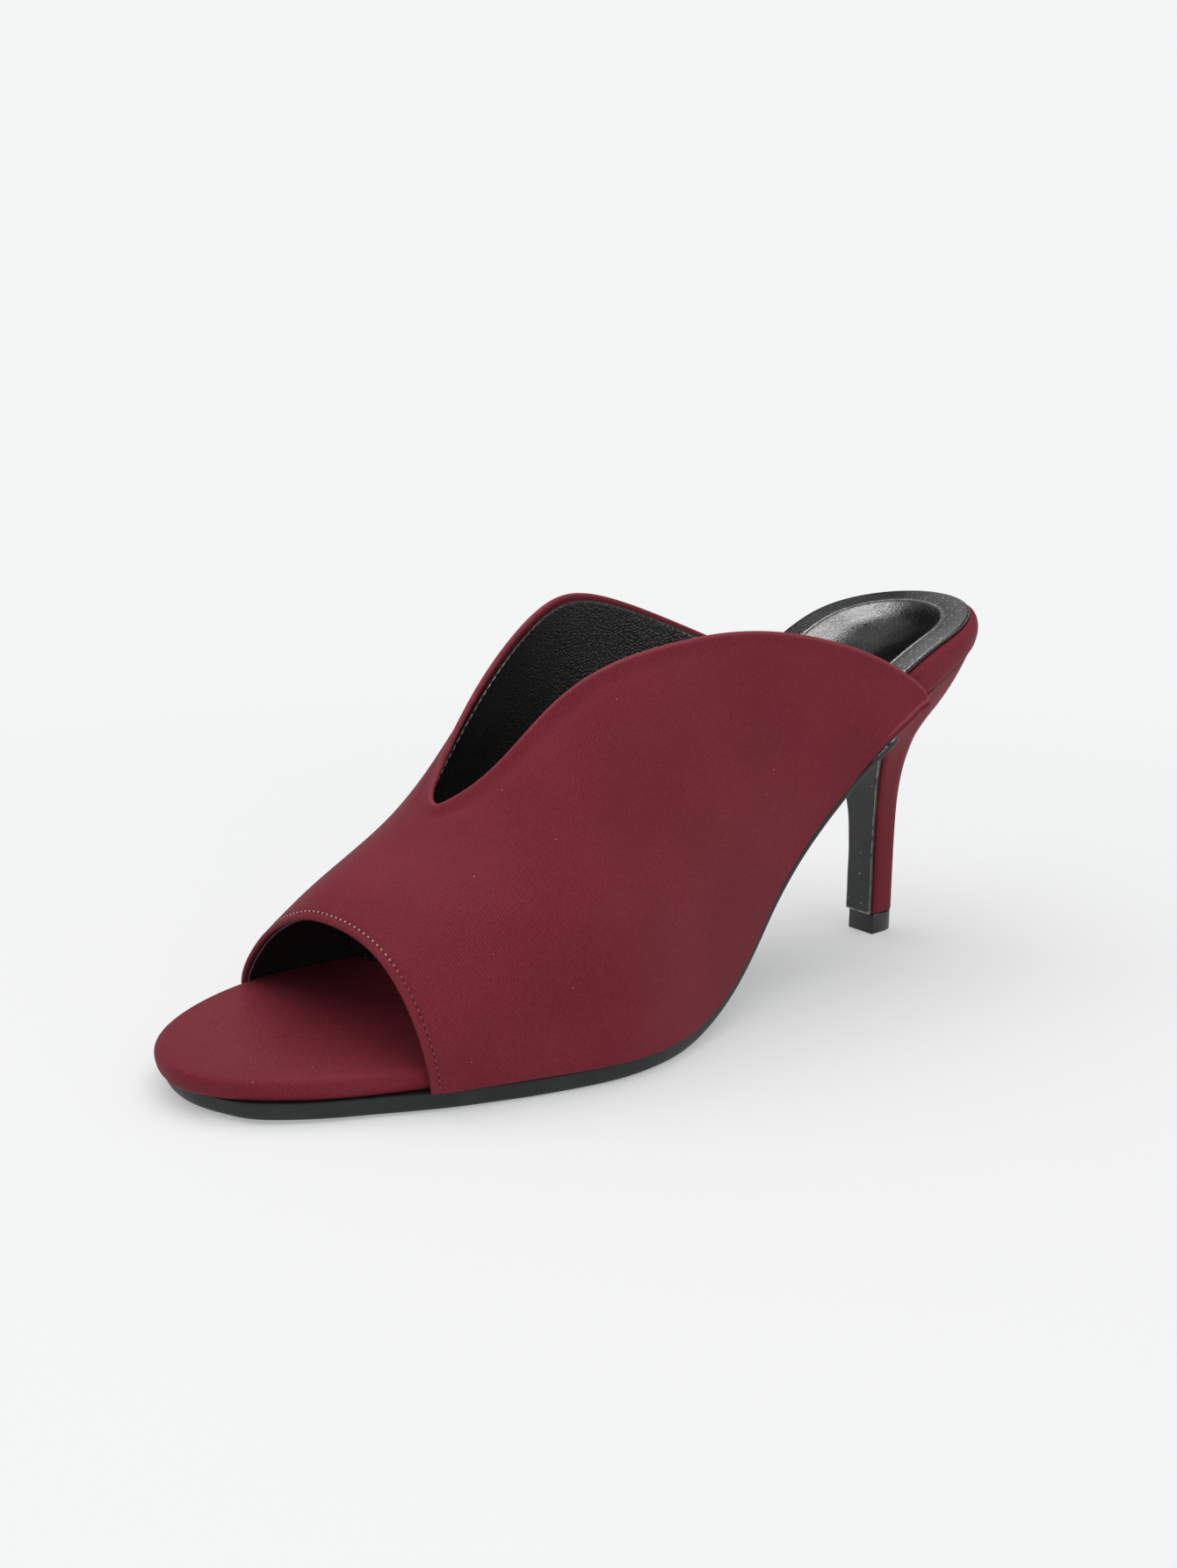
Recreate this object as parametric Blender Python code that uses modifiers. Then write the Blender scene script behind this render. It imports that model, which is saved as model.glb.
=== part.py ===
"""Left open-toe mule on a slim covered heel.

A satin upper, cut in a V over the instep, is lasted round a fabric-wrapped footbed. A black sock lies on
the footbed and a thin outsole runs under it to the heel breast. The covered heel carries a breast sheet and
a top piece.

The toe points to -X, the wearer's left (outer) side to -Y, and the floor is z = 0.
Sizes are millimetres. A point of the shoe is first given on the last's bottom as station (along the spine
from the toe tip), across (to the inner side) and height (square to the spine); placed points are metres.
"""

import math
from collections import namedtuple

import bmesh
import bpy
import numpy as np
from mathutils import Matrix, Vector

MM = 0.001
GAP = 0.3
WALL = 2.0
LASTING_GAP = 0.6
FEATHER_GAP = 0.45

# The spine: the line of the last's bottom in side view, as arcs that run into each other.
SpineArc = namedtuple("SpineArc", "name length end_slope")
TOE_SLOPE = -0.9
SPINE = (
    SpineArc("toe spring", 55.0, 0.0),
    SpineArc("tread", 42.0, 0.0),
    SpineArc("break", 40.0, 46.0),
    SpineArc("shank", 44.0, 46.0),
    SpineArc("seat bend", 43.0, 19.0),
    SpineArc("heel seat", 22.0, 11.0),
)
INSOLE_LENGTH = sum(arc.length for arc in SPINE)

# The insole pattern: half widths to the outer and the inner side, and how far the toe swings inwards.
Width = namedtuple("Width", "station outer inner")
WIDTHS = (
    Width(0.0, 27.0, 36.3),
    Width(18.0, 27.0, 39.2),
    Width(38.0, 28.5, 42.0),
    Width(62.0, 34.0, 41.6),
    Width(85.0, 38.2, 37.8),
    Width(108.0, 32.8, 30.4),
    Width(130.0, 25.7, 23.5),
    Width(155.0, 21.4, 21.0),
    Width(185.0, 24.2, 22.5),
    Width(205.0, 26.6, 24.4),
    Width(215.0, 26.9, 25.0),
    Width(INSOLE_LENGTH, 26.2, 25.0),
)
TOE_SWING = 5.8
SWING_LENGTH = 60.0
TOE_CAP = 52.0
HEEL_CAP = 26.0
CAP_ROUNDNESS = 2.2
TOE_STEPS = 9
SIDE_STEPS = 20
HEEL_STEPS = 8

# Thicknesses along the spine.
Thickness = namedtuple("Thickness", "station outsole footbed dish")
THICKNESSES = (
    Thickness(0.0, 3.8, 4.6, 0.0),
    Thickness(60.0, 4.2, 4.6, 0.0),
    Thickness(96.0, 4.2, 5.0, 0.0),
    Thickness(132.0, 2.0, 5.8, 0.0),
    Thickness(190.0, 2.0, 7.4, 0.9),
    Thickness(215.0, 2.0, 7.8, 2.8),
    Thickness(INSOLE_LENGTH, 2.0, 7.8, 2.8),
)
TREAD_LEVEL = 4.2

# The footbed's rim: how far it is rounded in below and above, and the height of its underside.
Rim = namedtuple("Rim", "station under over low")
RIMS = (
    Rim(0.0, 1.0, 2.0, GAP),
    Rim(132.0, 1.0, 2.0, GAP),
    Rim(200.0, 0.6, 1.4, GAP),
    Rim(208.0, 0.6, 1.3, -0.05),
    Rim(215.0, 1.2, 1.2, -0.2),
    Rim(222.0, 2.2, 1.2, -0.2),
    Rim(231.0, 3.0, 1.2, -0.2),
    Rim(INSOLE_LENGTH, 3.0, 1.2, -0.2),
)

# The sock, whose front edge bows back under the toes, and how far its sides stand in from the rim.
SOCK_THICKNESS = 1.0
SOCK_FRONT = 60.0
SOCK_TONGUE = 14.0
SOCK_BORDER = 6.5
SOCK_RIM_DISH = 0.12
SOCK_INNER_MARGIN = 1.5
Margin = namedtuple("Margin", "station inset")
SOCK_MARGINS = (
    Margin(0.0, 4.2),
    Margin(60.0, 4.0),
    Margin(120.0, 2.6),
    Margin(170.0, 1.6),
    Margin(205.0, 1.1),
    Margin(228.0, 1.5),
    Margin(INSOLE_LENGTH, 2.1),
)

# How far the outsole stands in from the rim (or, below 0, out under the upper).
BREAST_STATION = 198.0
SHANK_WELT = 2.3
BREAST_WELT = 3.3
OUTSOLE_MARGINS = (
    Margin(0.0, 2.8),
    Margin(5.0, 1.2),
    Margin(9.0, -0.3),
    Margin(30.0, -0.1),
    Margin(44.0, -1.4),
    Margin(60.0, -2.1),
    Margin(90.0, -1.4),
    Margin(117.0, -1.8),
    Margin(150.0, -SHANK_WELT),
    Margin(178.0, -SHANK_WELT),
    Margin(192.0, -BREAST_WELT),
    Margin(200.0, -BREAST_WELT),
)

# The upper's last, section by section: each leans to its ridge, whose place is given in side view.
# Fullness is how far a side swells beyond a plain elliptic arch, and a flatter side still starts upright.
Section = namedtuple("Section", "station ridge_x ridge_z ridge_across outer_full inner_full")
SECTIONS = (
    Section(28.0, 26.0, 23.6, 6.4, 2.6, -3.9),
    Section(40.0, 33.8, 33.9, 5.7, 2.7, -6.1),
    Section(75.0, 61.4, 52.9, 2.1, 3.0, 0.4),
    Section(112.0, 81.0, 82.8, 2.0, 3.5, 0.9),
    Section(150.0, 112.0, 114.6, 1.4, 5.0, 7.0),
    Section(185.0, 147.0, 133.7, 0.6, 4.6, 5.2),
    Section(214.0, 179.0, 149.6, 0.0, 3.9, 3.2),
)

UPRIGHT_SHARE = 1.5
UPRIGHT_POWER = 6

# The toe edge of the upper, from the outer sole edge (turn -1) over the ridge (0) to the inner one (1), and
# the topline, from the ridge (girth 0) down to the sole (1) on either side.
ToeCut = namedtuple("ToeCut", "turn station")
TOE_EDGE = (
    ToeCut(-1.0, 39.5),
    ToeCut(-0.65, 40.2),
    ToeCut(-0.3, 41.2),
    ToeCut(0.0, 39.0),
    ToeCut(0.3, 36.7),
    ToeCut(0.65, 36.3),
    ToeCut(1.0, 36.1),
)
Cut = namedtuple("Cut", "girth outer inner")
TOPLINE = (
    Cut(0.0, 76.9, 76.9),
    Cut(0.1, 87.7, 84.2),
    Cut(0.24, 111.7, 118.1),
    Cut(0.44, 139.8, 147.6),
    Cut(0.6, 163.2, 164.1),
    Cut(0.8, 188.3, 185.5),
    Cut(1.0, 208.6, 207.6),
)
NOTCH_ROUND = 0.05
TAIL_GIRTH = 0.945
TAIL_ROUND = 2.0
UPPER_STEPS_ALONG = 28
UPPER_STEPS_ROUND = 40

# The heel: a slim stem from the top piece up to the seat, which it meets in a flare.
TIP_FRONT = 193.5
TIP_DEPTH = 9.0
TIP_WIDTH = 8.8
TIP_ACROSS = -0.8
TIP_HEIGHT = 5.4
TIP_SQUARENESS = 0.55
FLARE_FRONT = 5.0
FLARE_CORNER = 0.4
Flare = namedtuple("Flare", "rise power")
FLARES = (
    Flare(0.0, 4.5),
    Flare(0.4, 4.45),
    Flare(0.5, 4.1),
    Flare(0.6, 3.75),
    Flare(0.7, 3.4),
    Flare(0.78, 2.8),
    Flare(0.83, 2.35),
    Flare(0.88, 2.03),
    Flare(0.935, 1.75),
    Flare(1.0, 1.5),
)
Seat = namedtuple("Seat", "station inset level")
SEATS = (
    Seat(BREAST_STATION, -0.3, -0.25),
    Seat(205.0, 0.2, -0.35),
    Seat(212.0, 1.1, -0.55),
    Seat(222.0, 2.4, -0.55),
    Seat(231.0, 3.2, -0.55),
    Seat(INSOLE_LENGTH, 3.2, -0.55),
)
FRONT_STEPS = 8
ROUND_STEPS = 26
STEM_STEPS = 15
SEAT_RINGS = (0.3, 0.6, 0.85)
BREAST_SHEET = 0.9
BREAST_SHARE = 0.94
BREAST_TOP = 0.975


def natural_spline(knots, values):
    """A smooth curve through the values, straight beyond both ends."""
    knots = np.asarray(knots, float)
    values = np.asarray(values, float)
    count = len(knots)
    step = np.diff(knots)
    matrix = np.eye(count)
    load = np.zeros(count)
    for i in range(1, count - 1):
        matrix[i, i - 1 : i + 2] = step[i - 1], 2 * (step[i - 1] + step[i]), step[i]
        load[i] = 6 * ((values[i + 1] - values[i]) / step[i] - (values[i] - values[i - 1]) / step[i - 1])
    bend = np.linalg.solve(matrix, load)

    def at(place):
        i = int(np.clip(np.searchsorted(knots, place) - 1, 0, count - 2))
        width = step[i]
        inside = min(max(place, knots[0]), knots[-1])
        left = (knots[i + 1] - inside) / width
        right = 1 - left
        value = left * values[i] + right * values[i + 1]
        value += ((left**3 - left) * bend[i] + (right**3 - right) * bend[i + 1]) * width**2 / 6
        slope = (values[i + 1] - values[i]) / width
        slope += ((1 - 3 * left**2) * bend[i] + (3 * right**2 - 1) * bend[i + 1]) * width / 6
        return float(value + slope * (place - inside))

    return at


def column(rows, key, name):
    """The named column of a table as a smooth function of its key column."""
    return natural_spline([getattr(row, key) for row in rows], [getattr(row, name) for row in rows])


def straight_column(rows, name):
    """The named column of a table by station, in straight steps."""
    stations = [row.station for row in rows]
    values = [getattr(row, name) for row in rows]
    return lambda station: float(np.interp(station, stations, values))


outer_width = column(WIDTHS, "station", "outer")
inner_width = column(WIDTHS, "station", "inner")
outsole_thickness = straight_column(THICKNESSES, "outsole")
footbed_thickness = straight_column(THICKNESSES, "footbed")
dish_depth = straight_column(THICKNESSES, "dish")
under_round = straight_column(RIMS, "under")
over_round = straight_column(RIMS, "over")
footbed_low = straight_column(RIMS, "low")
sock_side_margin = straight_column(SOCK_MARGINS, "inset")
outsole_side_margin = straight_column(OUTSOLE_MARGINS, "inset")
seat_inset = straight_column(SEATS, "inset")
seat_level = straight_column(SEATS, "level")
section_curves = {name: column(SECTIONS, "station", name) for name in Section._fields[1:]}
toe_edge = column(TOE_EDGE, "turn", "station")
topline = {name: column(TOPLINE, "girth", name) for name in ("outer", "inner")}


def spine_from_toe(station):
    """x, z and slope of the spine at a station, counted from the toe tip."""
    x = z = 0.0
    slope = math.radians(TOE_SLOPE)
    left = station
    for arc in SPINE:
        turn = math.radians(arc.end_slope) - slope
        share = min(left, arc.length) if arc is not SPINE[-1] else left
        end = slope + turn * share / arc.length
        chord = math.sin((end - slope) / 2) / ((end - slope) / 2) if abs(end - slope) > 1e-9 else 1.0
        x += share * chord * math.cos((slope + end) / 2)
        z += share * chord * math.sin((slope + end) / 2)
        slope = end
        left -= share
        if left <= 0:
            break
    return x, z, slope


TREAD_Z = spine_from_toe(SPINE[0].length)[1]


def spine_at(station):
    """x, z and slope of the spine at a station, with the tread's underside on the floor."""
    x, z, slope = spine_from_toe(station)
    return x, z - TREAD_Z + TREAD_LEVEL, slope


def on_last(station, across, height):
    """The point of the shoe at a station, an offset across and a height square to the spine."""
    x, z, slope = spine_at(station)
    return Vector((x - height * math.sin(slope), across, z + height * math.cos(slope)))


def cap(station):
    """How the pattern closes to a round end at the toe and at the heel, from 0 to 1."""
    toe = max(0.0, (TOE_CAP - station) / TOE_CAP)
    heel = max(0.0, (station - (INSOLE_LENGTH - HEEL_CAP)) / HEEL_CAP)
    return math.sqrt(max(0.0, 1 - max(toe, heel) ** CAP_ROUNDNESS))


def middle(station):
    """The pattern's middle line, which swings inwards at the toe."""
    return TOE_SWING * max(0.0, 1 - station / SWING_LENGTH) ** 2


def edge(station, side):
    """The pattern's edge across, on the side "outer" or "inner"."""
    if side == "outer":
        return middle(station) - cap(station) * outer_width(station)
    return middle(station) + cap(station) * inner_width(station)


def quarter(count):
    """Shares from 0 to 1 that crowd towards 0, for round ends."""
    return [1 - math.cos(math.pi / 2 * i / count) for i in range(count + 1)]


def pattern_stations(start, stop):
    """Stations from start to stop, crowded at the round toe and heel where the range takes them in."""
    stations = [TOE_CAP * share for share in quarter(TOE_STEPS)]
    side = INSOLE_LENGTH - TOE_CAP - HEEL_CAP
    stations += [TOE_CAP + side * i / SIDE_STEPS for i in range(1, SIDE_STEPS)]
    stations += [INSOLE_LENGTH - HEEL_CAP * share for share in reversed(quarter(HEEL_STEPS))]
    nearest = (stations[1] - stations[0]) / 2
    inside = [s for s in stations if start + nearest < s < stop - nearest]
    return [start, *inside, stop]


def pattern_loop(start, stop, across_steps, tongue=0.0):
    """The closed outline of a piece that spans start to stop, as (station, across).

    A blunt end gets steps across it, and a round end closes in one point. A blunt front bows by the tongue.
    """
    stations = pattern_stations(start, stop)
    outer = [(s, edge(s, "outer")) for s in stations]
    inner = [(s, edge(s, "inner")) for s in stations]
    loop = list(outer)
    for i in range(1, across_steps if inner[-1][1] > outer[-1][1] else 1):
        loop.append((stop, outer[-1][1] + (inner[-1][1] - outer[-1][1]) * i / across_steps))
    loop += reversed(inner)
    for i in range(1, across_steps if inner[0][1] > outer[0][1] else 1):
        bow = tongue * (1 - abs(2 * i / across_steps - 1) ** 4)
        loop.append((start + bow, inner[0][1] + (outer[0][1] - inner[0][1]) * i / across_steps))
    return loop


Row = namedtuple("Row", "inset share level dish under over", defaults=(0.0, 0.0))


def named_material(name, colour, roughness):
    """A plain Principled material."""
    material = bpy.data.materials.new(name)
    material.use_nodes = True
    shader = material.node_tree.nodes["Principled BSDF"]
    shader.inputs["Base Color"].default_value = (*colour, 1.0)
    shader.inputs["Roughness"].default_value = roughness
    shader.inputs["Metallic"].default_value = 0.0
    return material


def new_piece(name, mesh_data, material, collection):
    """A named object from a bmesh in metres, shaded smooth with crisp edges."""
    if not any(side.is_boundary for side in mesh_data.edges):
        bmesh.ops.recalc_face_normals(mesh_data, faces=mesh_data.faces)
    mesh = bpy.data.meshes.new(name)
    mesh_data.to_mesh(mesh)
    mesh_data.free()
    mesh.materials.append(material)
    mesh.shade_smooth()
    mesh.set_sharp_from_angle(angle=math.radians(40))
    piece = bpy.data.objects.new(name, mesh)
    collection.objects.link(piece)
    return piece


def rolled_grid(columns, rows, place):
    """A grid whose points are put at place(column, row), welded where they meet."""
    mesh_data = bmesh.new()
    bmesh.ops.create_grid(mesh_data, x_segments=columns, y_segments=rows, size=1.0)
    for vertex in mesh_data.verts:
        across = round((vertex.co.x + 1) / 2 * columns)
        along = round((vertex.co.y + 1) / 2 * rows)
        vertex.co = place(across, along) * MM
    bmesh.ops.remove_doubles(mesh_data, verts=mesh_data.verts, dist=1e-6)
    bmesh.ops.dissolve_degenerate(mesh_data, edges=mesh_data.edges, dist=1e-6)
    return mesh_data


def bent_slab(loop, profile, low, high, ends, trim=lambda station, across: 0.0, tongue=0.0):
    """A closed slab over a pattern loop, bent along the spine.

    The profile runs from the middle of the underside round the rim to the middle of the top. Each row gives
    the inset from the rim, the share of the way from there to the middle line, the level between low and
    high, the share of the heel's dish and the shares of the rounding below and above. The middle line stops
    short of the piece by the two lengths in ends, and trim sets the whole rim in.
    """
    stations = [point[0] for point in loop]
    first = min(stations) + tongue + ends[0]
    last = max(stations) - ends[1]

    def place(column_index, row_index):
        station, across = loop[column_index % len(loop)]
        row = profile[row_index]
        rim = Vector((station, across))
        centre_station = min(max(station, first), last)
        heart = Vector((centre_station, middle(centre_station)))
        reach = (heart - rim).length
        inset = row.inset + row.under * under_round(station) + row.over * over_round(station)
        inset += trim(station, across)
        inset += row.share * (reach - inset)
        spot = rim + (heart - rim) * min(1.0, inset / reach)
        height = low(spot.x) + (high(spot.x) - low(spot.x)) * row.level - row.dish * dish_depth(spot.x)
        return on_last(spot.x, spot.y, height)

    return rolled_grid(len(loop), len(profile) - 1, place)


def footbed_top(station):
    """The height of the footbed's top over the spine."""
    return GAP + footbed_thickness(station)


def make_footbed(material, collection):
    """The fabric-wrapped insole board, with a soft rim and a dished heel seat."""
    loop = pattern_loop(0.0, INSOLE_LENGTH, 1)
    profile = (
        Row(0.0, 1.0, 0.0, 0.0),
        Row(7.0, 0.35, 0.0, 0.0),
        Row(0.0, 0.0, 0.0, 0.0, 1.0),
        Row(0.0, 0.0, 0.2, 0.0, 0.36),
        Row(0.0, 0.0, 0.5, 0.0, 0.06),
        Row(0.0, 0.0, 0.7, 0.0),
        Row(0.0, 0.0, 0.9, 0.0, 0.0, 0.3),
        Row(0.0, 0.0, 1.0, 0.0, 0.0, 1.0),
        Row(SOCK_BORDER, 0.0, 1.0, SOCK_RIM_DISH),
        Row(SOCK_BORDER, 0.4, 1.0, 0.8),
        Row(0.0, 1.0, 1.0, 1.0),
    )
    mesh_data = bent_slab(loop, profile, footbed_low, footbed_top, (24.0, 24.0))
    return new_piece("footbed", mesh_data, material, collection)


def sock_margin(station, across):
    """How far the sock stands in from the rim: more on the inner side, and evenly round the heel."""
    lean = min(max((across - middle(station)) / HEEL_CAP, 0.0), 1.0)
    return sock_side_margin(station) + SOCK_INNER_MARGIN * lean


def make_sock(material, collection):
    """The black sock over the footbed from under the toes, down to the heel's dish."""
    loop = pattern_loop(SOCK_FRONT, INSOLE_LENGTH, 8, SOCK_TONGUE)
    profile = (
        Row(0.0, 1.0, 0.0, 1.0),
        Row(SOCK_BORDER, 0.4, 0.0, 0.8),
        Row(SOCK_BORDER, 0.0, 0.0, SOCK_RIM_DISH),
        Row(0.0, 0.0, 0.0, 0.0),
        Row(0.0, 0.0, 0.7, 0.0),
        Row(0.4, 0.0, 1.0, 0.0),
        Row(SOCK_BORDER, 0.0, 1.0, SOCK_RIM_DISH),
        Row(SOCK_BORDER, 0.4, 1.0, 0.8),
        Row(0.0, 1.0, 1.0, 1.0),
    )

    def low(station):
        return footbed_top(station) + GAP

    def high(station):
        return low(station) + SOCK_THICKNESS

    mesh_data = bent_slab(loop, profile, low, high, (14.0, 24.0), sock_margin, SOCK_TONGUE)
    return new_piece("sock", mesh_data, material, collection)


def make_outsole(material, collection):
    """The thin outsole, full under the tread and pared along the shank to the heel breast."""
    loop = pattern_loop(0.0, BREAST_STATION - GAP - BREAST_WELT, 6)
    profile = (
        Row(0.0, 1.0, 0.0, 0.0),
        Row(6.0, 0.4, 0.0, 0.0),
        Row(2.2, 0.0, 0.0, 0.0),
        Row(1.2, 0.0, 0.08, 0.0),
        Row(0.5, 0.0, 0.24, 0.0),
        Row(0.0, 0.0, 0.6, 0.0),
        Row(0.0, 0.0, 1.0, 0.0),
        Row(6.0, 0.4, 1.0, 0.0),
        Row(0.0, 1.0, 1.0, 0.0),
    )

    def low(station):
        return -outsole_thickness(station)

    def margin(station, across):
        return outsole_side_margin(station)

    mesh_data = bent_slab(loop, profile, low, lambda s: 0.0, (24.0, 4.0), margin)
    return new_piece("outsole", mesh_data, material, collection)


def upper_point(station, girth, side):
    """A point of the upper's outer face: girth runs from 0 on the ridge to 1 at the sole."""
    at = {name: curve(station) for name, curve in section_curves.items()}
    outward = -1 if side == "outer" else 1
    rim = edge(station, side) + outward * (LASTING_GAP + WALL)
    foot = on_last(station, rim, FEATHER_GAP)
    angle = math.pi / 2 * girth
    rise = math.cos(angle)
    across = at["ridge_across"] * (1 - math.sin(angle)) + rim * math.sin(angle)
    full = at[side + "_full"] * math.sin(2 * angle)
    across += outward * full * (1 if full > 0 else 1 - UPRIGHT_SHARE * girth**UPRIGHT_POWER)
    x = foot.x + (at["ridge_x"] - foot.x) * rise
    z = foot.z + (at["ridge_z"] - foot.z) * rise
    return Vector((x, across, z))


def make_upper(material, collection):
    """The lasted upper: one wall from the toe edge back to the V topline, open below."""

    def place(round_index, along_index):
        turn = 1 - 2 * round_index / UPPER_STEPS_ROUND
        side = "outer" if turn < 0 else "inner"
        girth = abs(turn)
        front = toe_edge(turn)
        tail = max(0.0, girth - TAIL_GIRTH) / (1 - TAIL_GIRTH)
        back = topline[side](girth**2 / math.hypot(girth, NOTCH_ROUND)) - TAIL_ROUND * tail**2
        return upper_point(front + (back - front) * along_index / UPPER_STEPS_ALONG, girth, side)

    mesh_data = rolled_grid(UPPER_STEPS_ROUND, UPPER_STEPS_ALONG, place)
    piece = new_piece("upper", mesh_data, material, collection)
    wall = piece.modifiers.new("wall", "SOLIDIFY")
    wall.thickness = WALL * MM
    wall.offset = -1.0
    wall.use_even_offset = True
    wall.use_quality_normals = True
    return piece


def heel_seat_point(share):
    """Round the seat's rim from the outer breast corner (0) by the back to the inner one (1)."""
    side = "outer" if share < 0.5 else "inner"
    angle = math.pi * share
    length = INSOLE_LENGTH - seat_inset(INSOLE_LENGTH) - BREAST_STATION
    station = BREAST_STATION + length * math.sin(angle)
    inward = 1 if side == "outer" else -1
    across = edge(station, side) + inward * seat_inset(station)
    return station, min(across, 0.0) if side == "outer" else max(across, 0.0)


def tip_point(share):
    """Round the stem's foot, level with heel_seat_point: flat in front and rounded behind."""
    angle = math.pi * share
    sweep = math.cos(angle)
    across = -math.copysign(abs(sweep) ** TIP_SQUARENESS, sweep) * TIP_WIDTH / 2
    return TIP_FRONT + TIP_DEPTH * math.sin(angle) ** TIP_SQUARENESS, TIP_ACROSS + across


def heel_point(index, rise):
    """A point of the heel's side: index counts round the ring, rise goes from the top piece to the seat."""
    if index <= ROUND_STEPS:
        share = index / ROUND_STEPS
        station, across = heel_seat_point(share)
        x, y = tip_point(share)
        behind = float(np.interp(rise, *zip(*FLARES)))
        power = FLARE_FRONT + (behind - FLARE_FRONT) * min(1.0, math.sin(math.pi * share) / FLARE_CORNER)
    else:
        along = (index - ROUND_STEPS) / FRONT_STEPS
        station = BREAST_STATION
        corners = heel_seat_point(1.0)[1], heel_seat_point(0.0)[1]
        across = corners[0] + (corners[1] - corners[0]) * along
        x, y = TIP_FRONT, TIP_ACROSS + TIP_WIDTH * (0.5 - along)
        power = FLARE_FRONT
    rim = on_last(station, across, seat_level(station))
    flare = rise**power
    base = TIP_HEIGHT + GAP
    return Vector((x + (rim.x - x) * flare, y + (rim.y - y) * flare, base + (rim.z - base) * rise))


def make_heel(material, collection):
    """The covered heel: stem, flare and cupped seat."""
    around = ROUND_STEPS + FRONT_STEPS
    seat_heart = 0.55 * BREAST_STATION + 0.45 * INSOLE_LENGTH

    def place(column_index, row_index):
        index = column_index % around
        if row_index <= STEM_STEPS:
            return heel_point(index, 1 - (1 - row_index / STEM_STEPS) ** 1.5)
        share = SEAT_RINGS[row_index - STEM_STEPS - 1]
        if index <= ROUND_STEPS:
            station, across = heel_seat_point(index / ROUND_STEPS)
        else:
            station = BREAST_STATION
            across = heel_point(index, 1.0).y
        inward = station + (seat_heart - station) * share
        return on_last(inward, across * (1 - share), seat_level(inward))

    mesh_data = rolled_grid(around, STEM_STEPS + len(SEAT_RINGS), place)
    bmesh.ops.holes_fill(mesh_data, edges=[e for e in mesh_data.edges if e.is_boundary])
    return new_piece("heel", mesh_data, material, collection)


def make_breast_sheet(material, collection):
    """The black sheet down the heel's breast."""
    rows = STEM_STEPS - 2

    def place(column_index, row_index):
        along = 0.5 + (column_index / FRONT_STEPS - 0.5) * BREAST_SHARE
        rise = BREAST_TOP * (1 - (1 - row_index / rows) ** 1.5)
        index = ROUND_STEPS + FRONT_STEPS * along
        spot = heel_point(index, rise)
        step = 0.002
        upward = heel_point(index, rise + step) - heel_point(index, rise)
        outward = Vector((-upward.z, 0.0, upward.x)).normalized()
        return spot + outward * GAP

    mesh_data = rolled_grid(FRONT_STEPS, rows, place)
    piece = new_piece("breast_sheet", mesh_data, material, collection)
    sheet = piece.modifiers.new("sheet", "SOLIDIFY")
    sheet.thickness = BREAST_SHEET * MM
    sheet.offset = 1.0
    sheet.use_even_offset = True
    return piece


def make_top_piece(material, collection):
    """The heel's wearing block, flat on the floor."""
    outline = [tip_point(i / ROUND_STEPS) for i in range(ROUND_STEPS + 1)]
    mesh_data = bmesh.new()
    corners = [mesh_data.verts.new(Vector((x, y, 0.0)) * MM) for x, y in outline]
    foot = mesh_data.faces.new(corners)
    grown = bmesh.ops.extrude_face_region(mesh_data, geom=[foot])
    lifted = [item for item in grown["geom"] if isinstance(item, bmesh.types.BMVert)]
    bmesh.ops.translate(mesh_data, verts=lifted, vec=Vector((0.0, 0.0, TIP_HEIGHT * MM)))
    return new_piece("top_piece", mesh_data, material, collection)


def centre_on_footprint(pieces):
    """Moves the shoe so that the middle of its footprint is the origin, with the floor at z = 0."""
    bpy.context.view_layer.update()
    graph = bpy.context.evaluated_depsgraph_get()
    corners = np.array([corner for piece in pieces for corner in piece.evaluated_get(graph).bound_box])
    centre = (corners.min(0) + corners.max(0)) / 2
    for piece in pieces:
        piece.data.transform(Matrix.Translation((-centre[0], -centre[1], 0.0)))


def main():
    for old in list(bpy.data.objects):
        bpy.data.objects.remove(old)
    collection = bpy.data.collections.new("open_toe_mule")
    bpy.context.scene.collection.children.link(collection)
    satin = named_material("burgundy_satin", (0.165, 0.018, 0.030), 0.55)
    sock_black = named_material("black_sock", (0.012, 0.012, 0.013), 0.35)
    sole_black = named_material("black_sole", (0.016, 0.020, 0.021), 0.5)
    tip_black = named_material("black_top_piece", (0.010, 0.010, 0.010), 0.3)
    pieces = [
        make_outsole(sole_black, collection),
        make_footbed(satin, collection),
        make_sock(sock_black, collection),
        make_upper(satin, collection),
        make_heel(satin, collection),
        make_breast_sheet(sole_black, collection),
        make_top_piece(tip_black, collection),
    ]
    centre_on_footprint(pieces)


main()
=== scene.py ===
"""Looks of a left open-toe mule in burgundy satin on a slim covered heel.

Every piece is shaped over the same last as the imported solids: a station along the spine from the toe tip,
an offset across to the inner side and a height square to the spine, in millimetres until a piece is placed.
"""

import logging
import math
from collections.abc import Callable, Sequence
from dataclasses import astuple, dataclass, field, fields
from enum import Enum
from functools import partial

import bmesh
import bpy
import numpy as np
from mathutils import Matrix, Vector
from mathutils.kdtree import KDTree


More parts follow.
